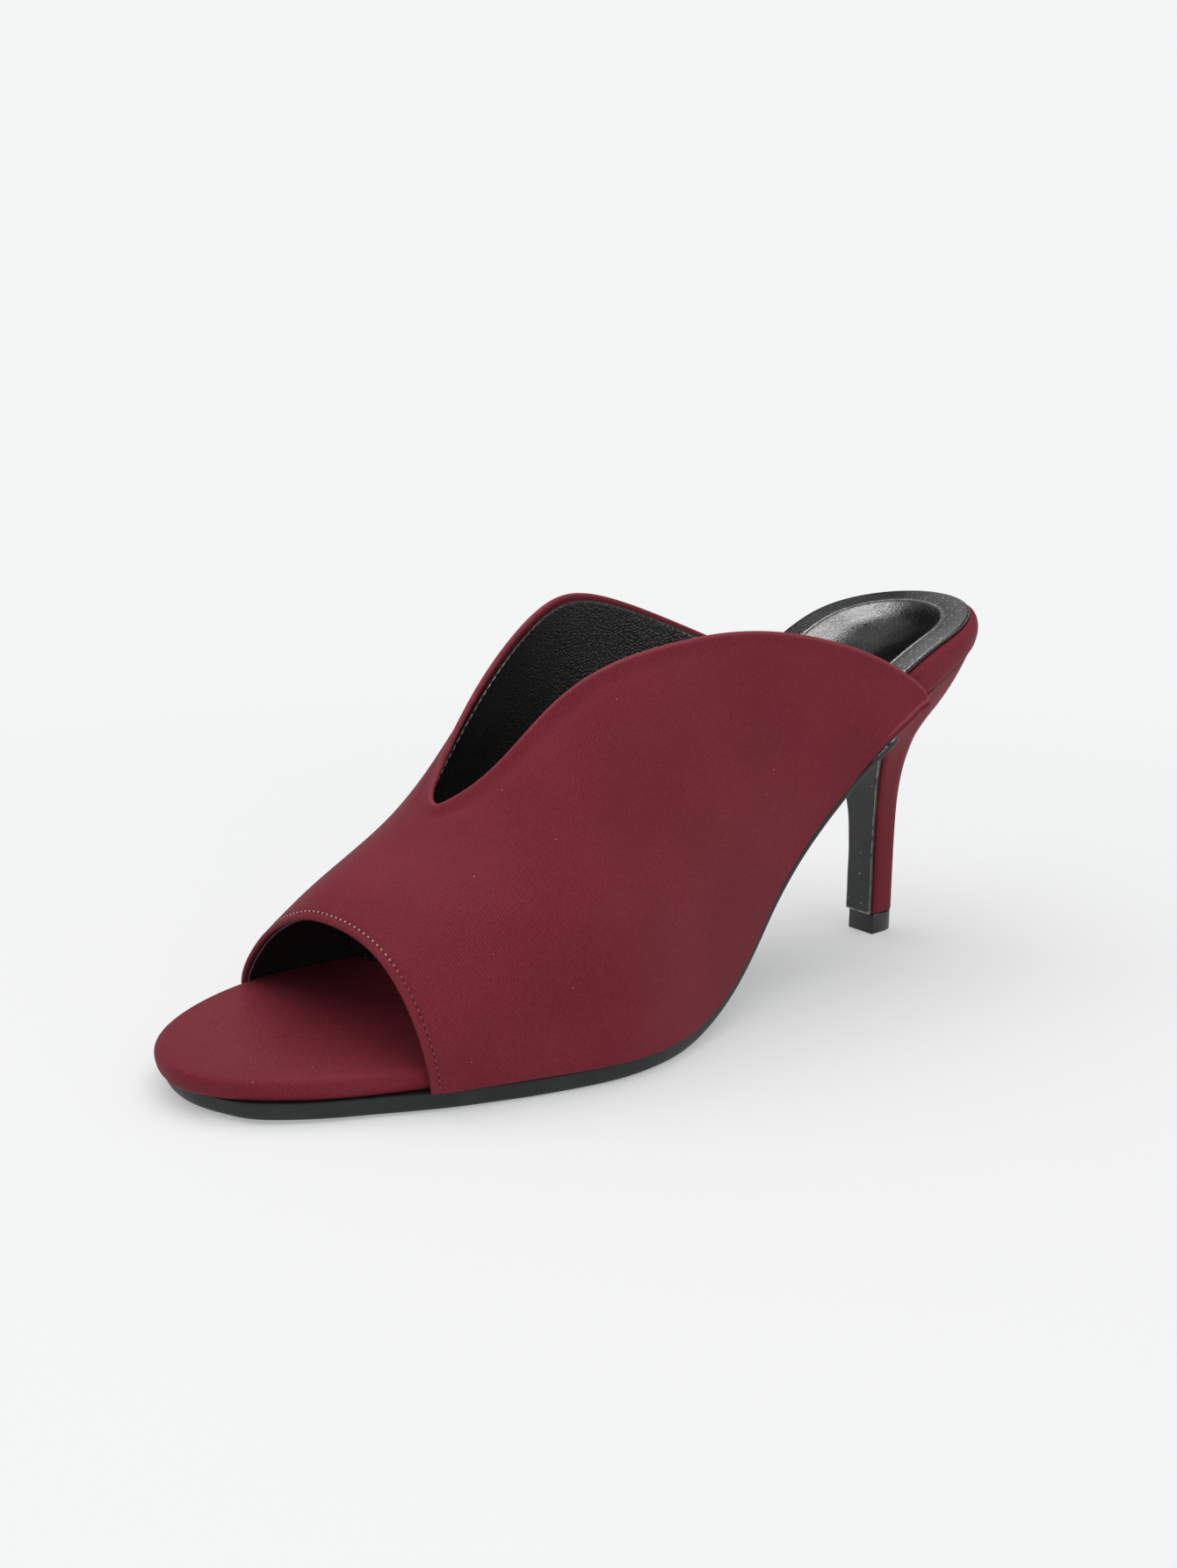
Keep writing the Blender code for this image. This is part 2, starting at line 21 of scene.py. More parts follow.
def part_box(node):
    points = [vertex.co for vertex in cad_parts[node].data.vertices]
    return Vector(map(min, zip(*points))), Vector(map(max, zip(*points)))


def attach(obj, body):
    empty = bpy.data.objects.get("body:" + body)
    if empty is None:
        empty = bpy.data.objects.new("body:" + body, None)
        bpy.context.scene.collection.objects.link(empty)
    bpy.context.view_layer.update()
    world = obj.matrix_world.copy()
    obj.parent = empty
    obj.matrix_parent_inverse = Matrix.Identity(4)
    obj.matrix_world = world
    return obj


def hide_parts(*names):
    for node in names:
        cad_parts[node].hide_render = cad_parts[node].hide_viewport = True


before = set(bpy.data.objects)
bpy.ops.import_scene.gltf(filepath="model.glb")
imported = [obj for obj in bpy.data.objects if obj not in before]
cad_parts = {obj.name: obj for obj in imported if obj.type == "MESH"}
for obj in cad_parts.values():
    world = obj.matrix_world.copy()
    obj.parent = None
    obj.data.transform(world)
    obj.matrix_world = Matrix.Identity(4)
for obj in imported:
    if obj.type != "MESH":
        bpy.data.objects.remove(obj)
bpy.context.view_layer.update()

MM = 0.001
WELD = 1e-6
SLIVER = 1e-7
BAND_RADIANS = 20.0
NOISE_SPAN = (0.3, 0.7)
BODY = "root"
LOG = logging.getLogger("open_toe_mule")

Array = np.ndarray
Numbers = tuple[float, ...]
Span = tuple[float, float]
Colour = tuple[float, float, float, float]
ByPlace = Callable[[Array], Array]
ByTwo = Callable[[Array, Array], Array]
ByThree = Callable[[Array, Array, Array], Array]
Mesh = bmesh.types.BMesh
Piece = bpy.types.Object
Material = bpy.types.Material
Socket = bpy.types.NodeSocket


class Side(Enum):
    """The two sides of the shoe, with the sign of their direction across."""

    OUTER = -1.0
    INNER = 1.0


class Grain(Enum):
    """How a surface's relief is made."""

    PEBBLE = "pebble"
    SMOOTH = "smooth"


def unit(vectors: Array) -> Array:
    """Scale each row of x, y, z to length one."""
    length = np.linalg.norm(vectors, axis=-1, keepdims=True)
    return vectors / np.maximum(length, 1e-12)


def ramp(place: Array, start: float, run: float) -> Array:
    """A straight rise from 0 at the start to 1 after the run, held at both ends."""
    return np.clip((place - start) / run, 0.0, 1.0)


def nothing(station: Array, *_: Array) -> Array:
    """No amount at any place."""
    return np.zeros_like(station)


def crowded(count: int, power: float, reach: float = 1.0) -> Array:
    """Places round the foot from side to side, closer together on the ridge."""
    straight = np.linspace(-reach, reach, count)
    return np.sign(straight) * np.abs(straight) ** power


def run_along(line: Array) -> Array:
    """The length along a line of points at each of them."""
    return np.concatenate([[0.0], np.cumsum(np.linalg.norm(np.diff(line, axis=0), axis=1))])


@dataclass(frozen=True)
class Swell:
    """A smooth swelling: its height, where it is highest, and how far off it has sunk to about a third."""

    height: float
    centre: float
    width: float

    def __call__(self, distance: Array) -> Array:
        """The height at each distance."""
        return self.height * np.exp(-(((distance - self.centre) / self.width) ** 2))


class Curve:
    """A smooth curve through given points, straight beyond both ends."""

    def __init__(self, knots: Sequence[float], values: Sequence[float]) -> None:
        """Solve the curve's bends.

        Args:
            knots: Rising places.
            values: The value at each place.
        """
        self.knots = np.asarray(knots, float)
        self.values = np.asarray(values, float)
        step = np.diff(self.knots)
        count = len(self.knots)
        matrix = np.eye(count)
        load = np.zeros(count)
        for i in range(1, count - 1):
            matrix[i, i - 1 : i + 2] = step[i - 1], 2 * (step[i - 1] + step[i]), step[i]
            rise = (self.values[i + 1] - self.values[i]) / step[i]
            load[i] = 6 * (rise - (self.values[i] - self.values[i - 1]) / step[i - 1])
        self.step = step
        self.bend = np.linalg.solve(matrix, load)

    def __call__(self, place: Array | float) -> Array:
        """Read the curve.

        Args:
            place: One place or many.

        Returns:
            The curve's value at each place.
        """
        place = np.asarray(place, float)
        i = np.clip(np.searchsorted(self.knots, place) - 1, 0, len(self.knots) - 2)
        width = self.step[i]
        inside = np.clip(place, self.knots[0], self.knots[-1])
        left = (self.knots[i + 1] - inside) / width
        right = 1 - left
        low, high = self.values[i], self.values[i + 1]
        bend_low, bend_high = self.bend[i], self.bend[i + 1]
        value = left * low + right * high
        value = value + ((left**3 - left) * bend_low + (right**3 - right) * bend_high) * width**2 / 6
        slope = (high - low) / width
        slope = slope + ((1 - 3 * left**2) * bend_low + (3 * right**2 - 1) * bend_high) * width / 6
        return value + slope * (place - inside)


@dataclass
class Last:
    """The form that every piece is made over: spine, insole pattern and the upper's sections."""

    gap: float = 0.3
    lasting_gap: float = 0.6
    wall: float = 2.0
    length: float = 246.0
    tread_level: float = 4.2
    toe_slope: float = -0.9
    arcs: tuple[Span, ...] = (
        (55.0, 0.0), (42.0, 0.0), (40.0, 46.0), (44.0, 46.0), (43.0, 19.0), (22.0, 11.0)
    )
    width_stations: Numbers = (0.0, 18.0, 38.0, 62.0, 85.0, 108.0, 130.0, 155.0, 185.0, 205.0, 215.0, 246.0)
    outer_widths: Numbers = (27.0, 27.0, 28.5, 34.0, 38.2, 32.8, 25.7, 21.4, 24.2, 26.6, 26.9, 26.2)
    inner_widths: Numbers = (36.3, 39.2, 42.0, 41.6, 37.8, 30.4, 23.5, 21.0, 22.5, 24.4, 25.0, 25.0)
    toe_swing: float = 5.8
    swing_length: float = 60.0
    toe_cap: float = 52.0
    heel_cap: float = 26.0
    cap_roundness: float = 2.2
    section_stations: Numbers = (28.0, 40.0, 75.0, 112.0, 150.0, 185.0, 214.0)
    ridge_x: Numbers = (26.0, 33.8, 61.4, 81.0, 112.0, 147.0, 179.0)
    ridge_z: Numbers = (23.6, 33.9, 52.9, 82.8, 114.6, 133.7, 149.6)
    ridge_across: Numbers = (6.4, 5.7, 2.1, 2.0, 1.4, 0.6, 0.0)
    outer_full: Numbers = (2.6, 2.7, 3.0, 3.5, 5.0, 4.6, 3.9)
    inner_full: Numbers = (-3.9, -6.1, 0.4, 0.9, 7.0, 5.2, 3.2)
    upright_share: float = 1.5
    upright_power: float = 6.0
    rim_stations: Numbers = (0.0, 132.0, 200.0, 208.0, 215.0, 222.0, 231.0, 246.0)
    under_rounds: Numbers = (1.0, 1.0, 0.6, 0.6, 1.2, 2.2, 3.0, 3.0)
    over_rounds: Numbers = (2.6, 2.6, 1.8, 1.6, 1.5, 1.5, 1.5, 1.5)
    tip_front: float = 193.5
    tip_across: float = -0.8
    probe_along: float = 0.05
    probe_round: float = 0.002
    girth_steps: int = 16
    shift: Array = field(init=False)

    def __post_init__(self) -> None:
        """Make the smooth curves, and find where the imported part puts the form."""
        self.widths = {
            Side.OUTER: Curve(self.width_stations, self.outer_widths),
            Side.INNER: Curve(self.width_stations, self.inner_widths),
        }
        names = ("ridge_x", "ridge_z", "ridge_across", "outer_full", "inner_full")
        self.sections = {name: Curve(self.section_stations, getattr(self, name)) for name in names}
        self.starts = [(0.0, 0.0, 0.0, math.radians(self.toe_slope))]
        for length, end_slope in self.arcs:
            station, x, z, slope = self.starts[-1]
            end = math.radians(end_slope)
            x, z = self._along(length, x, z, slope, end, length)
            self.starts.append((station + length, float(x), float(z), end))
        self.tread_z = self.starts[1][2]
        low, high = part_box("top_piece")
        across = (low.y + high.y) / 2 / MM - self.tip_across
        self.shift = np.array([low.x / MM - self.tip_front, across, 0.0])

    @staticmethod
    def _along(
        run: Array | float, x: float, z: float, slope: float, end: float, length: float
    ) -> tuple[Array, Array]:
        """Follow one arc of the spine.

        Args:
            run: Lengths along the arc.
            x: The arc's start.
            z: The arc's start.
            slope: Its first slope in radians.
            end: Its last slope in radians.
            length: Its whole length.

        Returns:
            x and z there.
        """
        turn = (end - slope) * run / length
        chord = run * np.sinc(turn / 2 / math.pi)
        return x + chord * np.cos(slope + turn / 2), z + chord * np.sin(slope + turn / 2)

    def spine(self, station: Array) -> tuple[Array, Array, Array]:
        """Follow the spine.

        Args:
            station: Places along the spine.

        Returns:
            x, z and the slope in radians at each.
        """
        station = np.asarray(station, float)
        x, z, slope = (np.zeros(station.shape) for _ in range(3))
        for i, (length, end_slope) in enumerate(self.arcs):
            first, arc_x, arc_z, arc_slope = self.starts[i]
            last = i == len(self.arcs) - 1
            here = ((station >= first) | (i == 0)) & ((station < first + length) | last)
            end = math.radians(end_slope)
            run = station[here] - first
            x[here], z[here] = self._along(run, arc_x, arc_z, arc_slope, end, length)
            slope[here] = arc_slope + (end - arc_slope) * run / length
        return x, z - self.tread_z + self.tread_level, slope

    def at(self, station: Array, across: Array, height: Array) -> Array:
        """Points of the shoe by station, offset across and height square to the spine.

        Args:
            station: Places along the spine.
            across: Offsets to the inner side.
            height: Heights over the spine.

        Returns:
            Rows of x, y, z in millimetres.
        """
        given = (np.asarray(values, float) for values in (station, across, height))
        station, across, height = np.broadcast_arrays(*given)
        x, z, slope = self.spine(station)
        return np.stack([x - height * np.sin(slope), across, z + height * np.cos(slope)], axis=-1)

    def middle(self, station: Array) -> Array:
        """The pattern's middle line, which swings inwards at the toe."""
        return self.toe_swing * np.maximum(0.0, 1 - np.asarray(station) / self.swing_length) ** 2

    def lean(self, station: Array, across: Array) -> Array:
        """How far places lie to the inner side of the middle line, in heel caps."""
        return (across - self.middle(station)) / self.heel_cap

    def cap(self, station: Array) -> Array:
        """How the pattern closes to round ends.

        Args:
            station: Places along the spine.

        Returns:
            From 0 at both ends to 1 between them.
        """
        toe = np.maximum(0.0, (self.toe_cap - station) / self.toe_cap)
        heel = np.maximum(0.0, (station - (self.length - self.heel_cap)) / self.heel_cap)
        return np.sqrt(np.maximum(0.0, 1 - np.maximum(toe, heel) ** self.cap_roundness))

    def edge(self, station: Array, side: Side) -> Array:
        """The offset across of the pattern's edge on one side."""
        return self.middle(station) + side.value * self.cap(station) * self.widths[side](station)

    def under_round(self, station: Array) -> Array:
        """How far the footbed's underside is rounded in."""
        return np.interp(station, self.rim_stations, self.under_rounds)

    def over_round(self, station: Array) -> Array:
        """How far the footbed's upper rim is rounded in."""
        return np.interp(station, self.rim_stations, self.over_rounds)

    def upper_face(self, station: Array, turn: Array) -> Array:
        """The upper's outer face.

        Args:
            station: Places along the spine.
            turn: From -1 at the outer sole edge over 0 on the ridge to 1 at the inner one.

        Returns:
            Rows of x, y, z in millimetres.
        """
        found = {name: curve(station) for name, curve in self.sections.items()}
        inner = np.asarray(turn) > 0
        outward = np.where(inner, 1.0, -1.0)
        rim = np.where(inner, self.edge(station, Side.INNER), self.edge(station, Side.OUTER))
        rim = rim + outward * (self.lasting_gap + self.wall)
        full = np.where(inner, found["inner_full"], found["outer_full"])
        foot = self.at(station, rim, self.gap)
        angle = math.pi / 2 * np.abs(turn)
        rise = np.cos(angle)
        across = found["ridge_across"] * (1 - np.sin(angle)) + rim * np.sin(angle)
        upright = np.where(full < 0, 1 - self.upright_share * np.abs(turn) ** self.upright_power, 1.0)
        across = across + outward * full * np.sin(2 * angle) * upright
        x = foot[..., 0] + (found["ridge_x"] - foot[..., 0]) * rise
        z = foot[..., 2] + (found["ridge_z"] - foot[..., 2]) * rise
        return np.stack([x, across, z], axis=-1)

    def upper_frame(self, station: Array, turn: Array) -> tuple[Array, Array, Array]:
        """The upper's face with its direction along and its outward normal.

        Args:
            station: Places along the spine.
            turn: Places round, from -1 to 1.

        Returns:
            Points, the change per millimetre of station, and unit normals.
        """
        step = self.probe_along
        along = (self.upper_face(station + step, turn) - self.upper_face(station - step, turn)) / (2 * step)
        ahead = np.minimum(turn + self.probe_round, 1.0)
        behind = np.maximum(turn - self.probe_round, -1.0)
        round_it = self.upper_face(station, ahead) - self.upper_face(station, behind)
        return self.upper_face(station, turn), along, unit(np.cross(along, round_it))

    def cloth(self, station: Array, turn: Array) -> Array:
        """The upper cloth's own coordinates in millimetres: along the shoe, and round it from the ridge.

        Args:
            station: Places along the spine.
            turn: Places round, from -1 to 1.

        Returns:
            Rows of two.
        """
        steps = self.girth_steps
        parts = [self.upper_face(station, turn * i / steps) for i in range(steps + 1)]
        girth = sum(np.linalg.norm(parts[i + 1] - parts[i], axis=-1) for i in range(steps))
        return np.stack([station, np.sign(turn) * girth], axis=-1)

    def placed(self, points: Array) -> Array:
        """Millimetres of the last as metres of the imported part."""
        return (points + self.shift) * MM


def rolled_grid(
    columns: int, rows: int, place: ByTwo, weave: ByTwo | None = None, mark: ByTwo | None = None
) -> Mesh:
    """A grid whose points are put in place together and welded where they meet.

    Args:
        columns: Cells one way.
        rows: Cells the other way.
        place: Gives metres for arrays of column and row numbers.
        weave: Gives the cloth's own coordinates for the same numbers.
        mark: Gives each point's rim value for the same numbers: above 0 for wear and painted highlights,
            below 0 for painted shade.

    Returns:
        The new mesh data.
    """
    mesh_data = bmesh.new()
    bmesh.ops.create_grid(mesh_data, x_segments=columns, y_segments=rows, size=1.0)
    flat = np.array([vertex.co[:2] for vertex in mesh_data.verts])
    column = np.rint((flat[:, 0] + 1) / 2 * columns).astype(int)
    row = np.rint((flat[:, 1] + 1) / 2 * rows).astype(int)
    for vertex, spot in zip(mesh_data.verts, place(column, row)):
        vertex.co = spot
    if weave is not None:
        mesh_data.verts.index_update()
        cloth = weave(column, row)
        layer = mesh_data.loops.layers.uv.new("weave")
        for face in mesh_data.faces:
            for loop in face.loops:
                loop[layer].uv = cloth[loop.vert.index]
    if mark is not None:
        layer = mesh_data.verts.layers.float.new("rim")
        for vertex, amount in zip(mesh_data.verts, mark(column, row)):
            vertex[layer] = amount
    bmesh.ops.remove_doubles(mesh_data, verts=mesh_data.verts, dist=WELD)
    bmesh.ops.dissolve_degenerate(mesh_data, edges=mesh_data.edges, dist=SLIVER)
    return mesh_data


def new_piece(name: str, mesh_data: Mesh, material: Material) -> Piece:
    """Turn mesh data into a smooth-shaded object at the origin.

    Args:
        name: The piece's name.
        mesh_data: Its mesh in metres, used up here.
        material: Its finish.

    Returns:
        The new object.
    """
    mesh = bpy.data.meshes.new(name)
    mesh_data.to_mesh(mesh)
    mesh_data.free()
    mesh.materials.append(material)
    mesh.shade_smooth()
    piece = bpy.data.objects.new(name, mesh)
    bpy.context.scene.collection.objects.link(piece)
    return piece


def soften(piece: Piece) -> None:
    """Round a piece with one level of subdivision surface."""
    subdivision = piece.modifiers.new("soft", "SUBSURF")
    subdivision.levels = subdivision.render_levels = 1


def fit_to_part(piece: Piece, node: str | None = None) -> Piece:
    """Let a piece ride on the shoe.

    Args:
        piece: The piece.
        node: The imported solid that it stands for, if any.

    Returns:
        The same piece.
    """
    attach(piece, BODY)
    if node:
        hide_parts(node)
    return piece


class Recipe:
    """A material's nodes, with short calls for the few kinds that the finishes use."""

    def __init__(self, name: str) -> None:
        """Start a Principled material.

        Args:
            name: The material's name.
        """
        self.material = bpy.data.materials.new(name)
        self.material.use_nodes = True
        self.tree = self.material.node_tree
        self.shader = self.tree.nodes["Principled BSDF"]

    def node(self, kind: str, **settings: object) -> bpy.types.Node:
        """Add a node and set its own settings.

        Args:
            kind: Blender's name of the node.
            settings: Properties of the node.

        Returns:
            The node.
        """
        made = self.tree.nodes.new(kind)
        for key, value in settings.items():
            setattr(made, key, value)
        return made

    def feed(self, target: Socket, source: Socket | Colour | float) -> None:
        """Link a socket to another, or set its value.

        Args:
            target: The socket to feed.
            source: Another node's output, or a constant.
        """
        if isinstance(source, bpy.types.NodeSocket):
            self.tree.links.new(source, target)
        else:
            target.default_value = source

    def fed(self, made: bpy.types.Node, **sources: object) -> bpy.types.Node:
        """Feed a node's inputs by name and give it back.

        Args:
            made: The node.
            sources: Outputs or constants by the input's name.

        Returns:
            The same node.
        """
        for key, source in sources.items():
            self.feed(made.inputs[key], source)
        return made

    def set(self, **values: object) -> None:
        """Set or link the shader's inputs, named with underscores for blanks."""
        self.fed(self.shader, **{key.replace("_", " "): value for key, value in values.items()})

    def place(self) -> Socket:
        """Object coordinates."""
        return self.node("ShaderNodeTexCoord").outputs["Object"]

    def cloth(self) -> Socket:
        """The cloth's own coordinates."""
        return self.node("ShaderNodeUVMap", uv_map="weave").outputs["UV"]

    def rim(self) -> Socket:
        """The number that the mesh carries for wear, painted highlights and painted shade."""
        return self.node("ShaderNodeAttribute", attribute_name="rim").outputs["Fac"]

    def noise(self, where: Socket, scale: float, detail: float = 2.0, roughness: float = 0.5) -> Socket:
        """Cloudy noise from 0 to 1.

        Args:
            where: Coordinates.
            scale: How fine it is.
            detail: How many finer layers lie over it.
            roughness: How strong those are.

        Returns:
            The noise.
        """
        made = self.node("ShaderNodeTexNoise")
        return self.fed(made, Vector=where, Scale=scale, Detail=detail, Roughness=roughness).outputs["Fac"]

    def cells(self, where: Socket, scale: float) -> Socket:
        """The distance from the heart of each of many cells."""
        return self.fed(self.node("ShaderNodeTexVoronoi"), Vector=where, Scale=scale).outputs["Distance"]

    def turned(self, where: Socket, degrees: float) -> Socket:
        """Coordinates turned in their plane."""
        turn = (0.0, 0.0, math.radians(degrees))
        return self.fed(self.node("ShaderNodeMapping"), Vector=where, Rotation=turn).outputs["Vector"]

    def ribs(self, where: Socket, spacing: float) -> Socket:
        """Even ribs along the second axis.

        Args:
            where: Coordinates.
            spacing: From rib to rib in metres.

        Returns:
            From 0 between the ribs to 1 on them.
        """
        made = self.node("ShaderNodeTexWave", wave_type="BANDS", bands_direction="X", wave_profile="SIN")
        return self.fed(made, Vector=where, Scale=2 * math.pi / BAND_RADIANS / spacing).outputs["Fac"]

    def maths(self, kind: str, first: Socket | float, second: Socket | float) -> Socket:
        """One step of arithmetic.

        Args:
            kind: Blender's name of the step.
            first: The first number.
            second: The second number.

        Returns:
            The result.
        """
        made = self.node("ShaderNodeMath", operation=kind)
        self.feed(made.inputs[0], first)
        self.feed(made.inputs[1], second)
        return made.outputs[0]

    def ranged(
        self, value: Socket, low: float, high: float, to_low: float = 0.0, to_high: float = 1.0
    ) -> Socket:
        """Spread a span of values smoothly over another, held at both ends.

        Args:
            value: What is spread.
            low: The span's start.
            high: The span's end.
            to_low: What its start becomes.
            to_high: What its end becomes.

        Returns:
            The spread value.
        """
        made = self.node("ShaderNodeMapRange", interpolation_type="SMOOTHSTEP")
        for i, source in enumerate((value, low, high, to_low, to_high)):
            self.feed(made.inputs[i], source)
        return made.outputs[0]

    def mixed(self, share: Socket, first: Colour | Socket, second: Colour | Socket) -> Socket:
        """Mix two colours by the second one's share."""
        made = self.node("ShaderNodeMix", data_type="RGBA")
        return self.fed(made, Factor=share, A=first, B=second).outputs["Result"]

    def relief(self, height: Socket, strength: float, depth: float, over: Socket | None = None) -> Socket:
        """Bump from a height.

        Args:
            height: From 0 to 1.
            strength: How strongly it shows.
            depth: Its depth in metres.
            over: Another relief that it lies on.

        Returns:
            The bent normal.
        """
        made = self.fed(self.node("ShaderNodeBump"), Height=height, Strength=strength, Distance=depth)
        if over is not None:
            self.feed(made.inputs["Normal"], over)
        return made.outputs["Normal"]


def rgb(red: float, green: float, blue: float) -> Colour:
    """A colour in linear light."""
    return (red, green, blue, 1.0)


def scaled(colour: Colour, by: float) -> Colour:
    """A colour made lighter or darker."""
    return rgb(*(by * part for part in colour[:3]))


@dataclass(frozen=True)
class SatinFinish:
    """Burgundy satin with a fine twill, a soft sheen, painted highlights and shade, and a few specks of lint.

    The mesh's rim attribute says where a pale highlight is painted on, or where below 0 a dark shade is
    painted on.
    """

    name: str = "burgundy_satin"
    colour: Colour = rgb(0.205, 0.0235, 0.0365)
    cloud: Colour = rgb(0.182, 0.0195, 0.0305)
    # Painted colours: a pale highlight for folded edges, and a dark shade for the tail's lower edge and the
    # heel's top.
    painted_highlight: Colour = rgb(0.36, 0.085, 0.105)
    painted_shade: Colour = rgb(0.035, 0.005, 0.008)
    lint: Colour = rgb(0.62, 0.52, 0.52)
    sheen_tint: Colour = rgb(0.95, 0.62, 0.68)
    sheen: float = 0.03
    sheen_roughness: float = 0.45
    specular: float = 0.08
    roughness: Span = (0.54, 0.68)
    cloud_scale: float = 34.0
    cloud_span: Span = (0.35, 0.65)
    fuzz_scale: float = 1900.0
    fuzz_rough: float = 0.65
    fuzz_span: Span = (0.2, 0.8)
    fuzz_strength: float = 0.2
    fuzz_depth: float = 0.00005
    rib_spacing: float = 0.00068
    rib_angle: float = 71.0
    rib_strength: float = 0.6
    rib_depth: float = 0.00007
    rib_contrast: float = 0.25
    rib_least: float = 0.1
    painted_highlight_share: float = 0.75
    painted_shade_share: float = 0.9
    lint_share: float = 0.85
    lint_scale: float = 170.0
    lint_size: float = 0.022

    def material(self) -> Material:
        """Make the finish.

        Returns:
            Its Blender material.
        """
        recipe = Recipe(self.name)
        spot = recipe.place()
        cloud = recipe.ranged(recipe.noise(spot, self.cloud_scale, 3.0), *self.cloud_span)
        fuzz = recipe.noise(spot, self.fuzz_scale, 2.0, self.fuzz_rough)
        ribs = recipe.ribs(recipe.turned(recipe.cloth(), self.rib_angle), self.rib_spacing)
        broken = recipe.maths("MULTIPLY", ribs, recipe.ranged(fuzz, *NOISE_SPAN, self.rib_least))
        low, high = (
            recipe.mixed(cloud, scaled(self.colour, by), scaled(self.cloud, by))
            for by in (1 - self.rib_contrast, 1 + self.rib_contrast)
        )
        base = recipe.mixed(broken, low, high)
        rim = recipe.rim()
        # Paint the highlight where the rim is above 0 and the shade where it is below 0.
        base = recipe.mixed(recipe.ranged(rim, 0.0, 1.0, 0.0, self.painted_highlight_share), base, self.painted_highlight)
        base = recipe.mixed(recipe.ranged(rim, -1.0, 0.0, self.painted_shade_share, 0.0), base, self.painted_shade)
        hearts = recipe.cells(spot, self.lint_scale)
        specks = recipe.ranged(hearts, self.lint_size / 2, self.lint_size, self.lint_share, 0.0)
        relief = recipe.relief(ribs, self.rib_strength, self.rib_depth)
        relief = recipe.relief(fuzz, self.fuzz_strength, self.fuzz_depth, relief)
        recipe.set(Base_Color=recipe.mixed(specks, base, self.lint), Normal=relief)
        recipe.set(Roughness=recipe.ranged(fuzz, *self.fuzz_span, *self.roughness))
        recipe.set(Sheen_Weight=self.sheen, Sheen_Roughness=self.sheen_roughness, Sheen_Tint=self.sheen_tint)
        recipe.set(Specular_IOR_Level=self.specular)
        return recipe.material


@dataclass(frozen=True)
class LeatherFinish:
    """Black coated leather, pebbled or smooth, with painted glints and a painted grey reflection where its
    rim attribute is high.
    """

    name: str
    colour: Colour
    worn: Colour = rgb(0.03, 0.031, 0.03)
    glint: Colour = rgb(0.62, 0.63, 0.62)
    reflection_grey: float = 0.17
    reflection_full: float = 0.6
    roughness: float = 0.40
    smoother: float = 0.05
    rougher: float = 0.07
    specular: float = 0.5
    cloud_scale: float = 90.0
    cloud_span: Span = (0.45, 0.75)
    glint_scale: float = 1300.0
    glint_span: Span = (0.6, 0.7)
    grain: Grain = Grain.PEBBLE
    grain_scale: float = 1050.0
    grain_span: Span = (0.15, 0.75)
    grain_depth: float = 0.00016
    fine_scale: float = 1800.0
    fine_share: float = 0.5
    strength: float = 0.5

    def material(self) -> Material:
        """Make the finish.

        Returns:
            Its Blender material.
        """
        recipe = Recipe(self.name)
        spot = recipe.place()
        cloud = recipe.noise(spot, self.cloud_scale, 4.0)
        base = recipe.mixed(recipe.ranged(cloud, *self.cloud_span), self.colour, self.worn)
        # Glints and a flat grey are painted into the colour as reflections where the rim attribute is high.
        broken = recipe.ranged(recipe.noise(spot, self.glint_scale, 1.0), *self.glint_span)
        rim = recipe.rim()
        grey = recipe.ranged(rim, 0.0, self.reflection_full, 0.0, self.reflection_grey)
        glints = recipe.maths("MAXIMUM", recipe.maths("MULTIPLY", rim, broken), grey)
        height = recipe.noise(spot, self.fine_scale)
        if self.grain is Grain.PEBBLE:
            pebble = recipe.ranged(recipe.cells(spot, self.grain_scale), *self.grain_span, 1.0, 0.0)
            height = recipe.maths("ADD", pebble, recipe.maths("MULTIPLY", height, self.fine_share))
        recipe.set(Base_Color=recipe.mixed(glints, base, self.glint))
        recipe.set(Normal=recipe.relief(height, self.strength, self.grain_depth))
        low, high = self.roughness - self.smoother, self.roughness + self.rougher
        recipe.set(Roughness=recipe.ranged(cloud, *NOISE_SPAN, low, high), Specular_IOR_Level=self.specular)
        return recipe.material


@dataclass(frozen=True)
class SheetFinish:
    """Smooth black sole sheet, worn pale where its rim attribute is high."""

    name: str
    colour: Colour
    dust: Colour = rgb(0.028, 0.034, 0.033)
    scuff: Colour = rgb(0.52, 0.53, 0.50)
    roughness: float = 0.44
    smoother: float = 0.06
    rougher: float = 0.1
    specular: float = 0.38
    cloud_scale: float = 120.0
    cloud_span: Span = (0.4, 0.7)
    ragged_scale: float = 420.0
    ragged_rough: float = 0.65
    ragged_span: Span = (0.36, 0.54)
    worn_from: float = 0.45
    specked: float = 0.0
    speck_scale: float = 900.0
    speck_span: Span = (0.74, 0.78)
    fine_scale: float = 1500.0
    fine_strength: float = 0.25
    fine_depth: float = 0.00005

    def material(self) -> Material:
        """Make the finish.

        Returns:
            Its Blender material.
        """
        recipe = Recipe(self.name)
        spot = recipe.place()
        cloud = recipe.noise(spot, self.cloud_scale, 4.0)
        base = recipe.mixed(recipe.ranged(cloud, *self.cloud_span), self.colour, self.dust)
        noise = recipe.noise(spot, self.ragged_scale, 3.0, self.ragged_rough)
        ragged = recipe.ranged(noise, *self.ragged_span)
        worn = recipe.maths("MULTIPLY", recipe.ranged(recipe.rim(), self.worn_from, 1.0), ragged)
        specks = recipe.ranged(recipe.noise(spot, self.speck_scale, 1.0), *self.speck_span, 0.0, self.specked)
        recipe.set(Base_Color=recipe.mixed(recipe.maths("MAXIMUM", worn, specks), base, self.scuff))
        fine = recipe.noise(spot, self.fine_scale)
        recipe.set(Normal=recipe.relief(fine, self.fine_strength, self.fine_depth))
        low, high = self.roughness - self.smoother, self.roughness + self.rougher
        recipe.set(Roughness=recipe.ranged(cloud, *NOISE_SPAN, low, high), Specular_IOR_Level=self.specular)
        return recipe.material


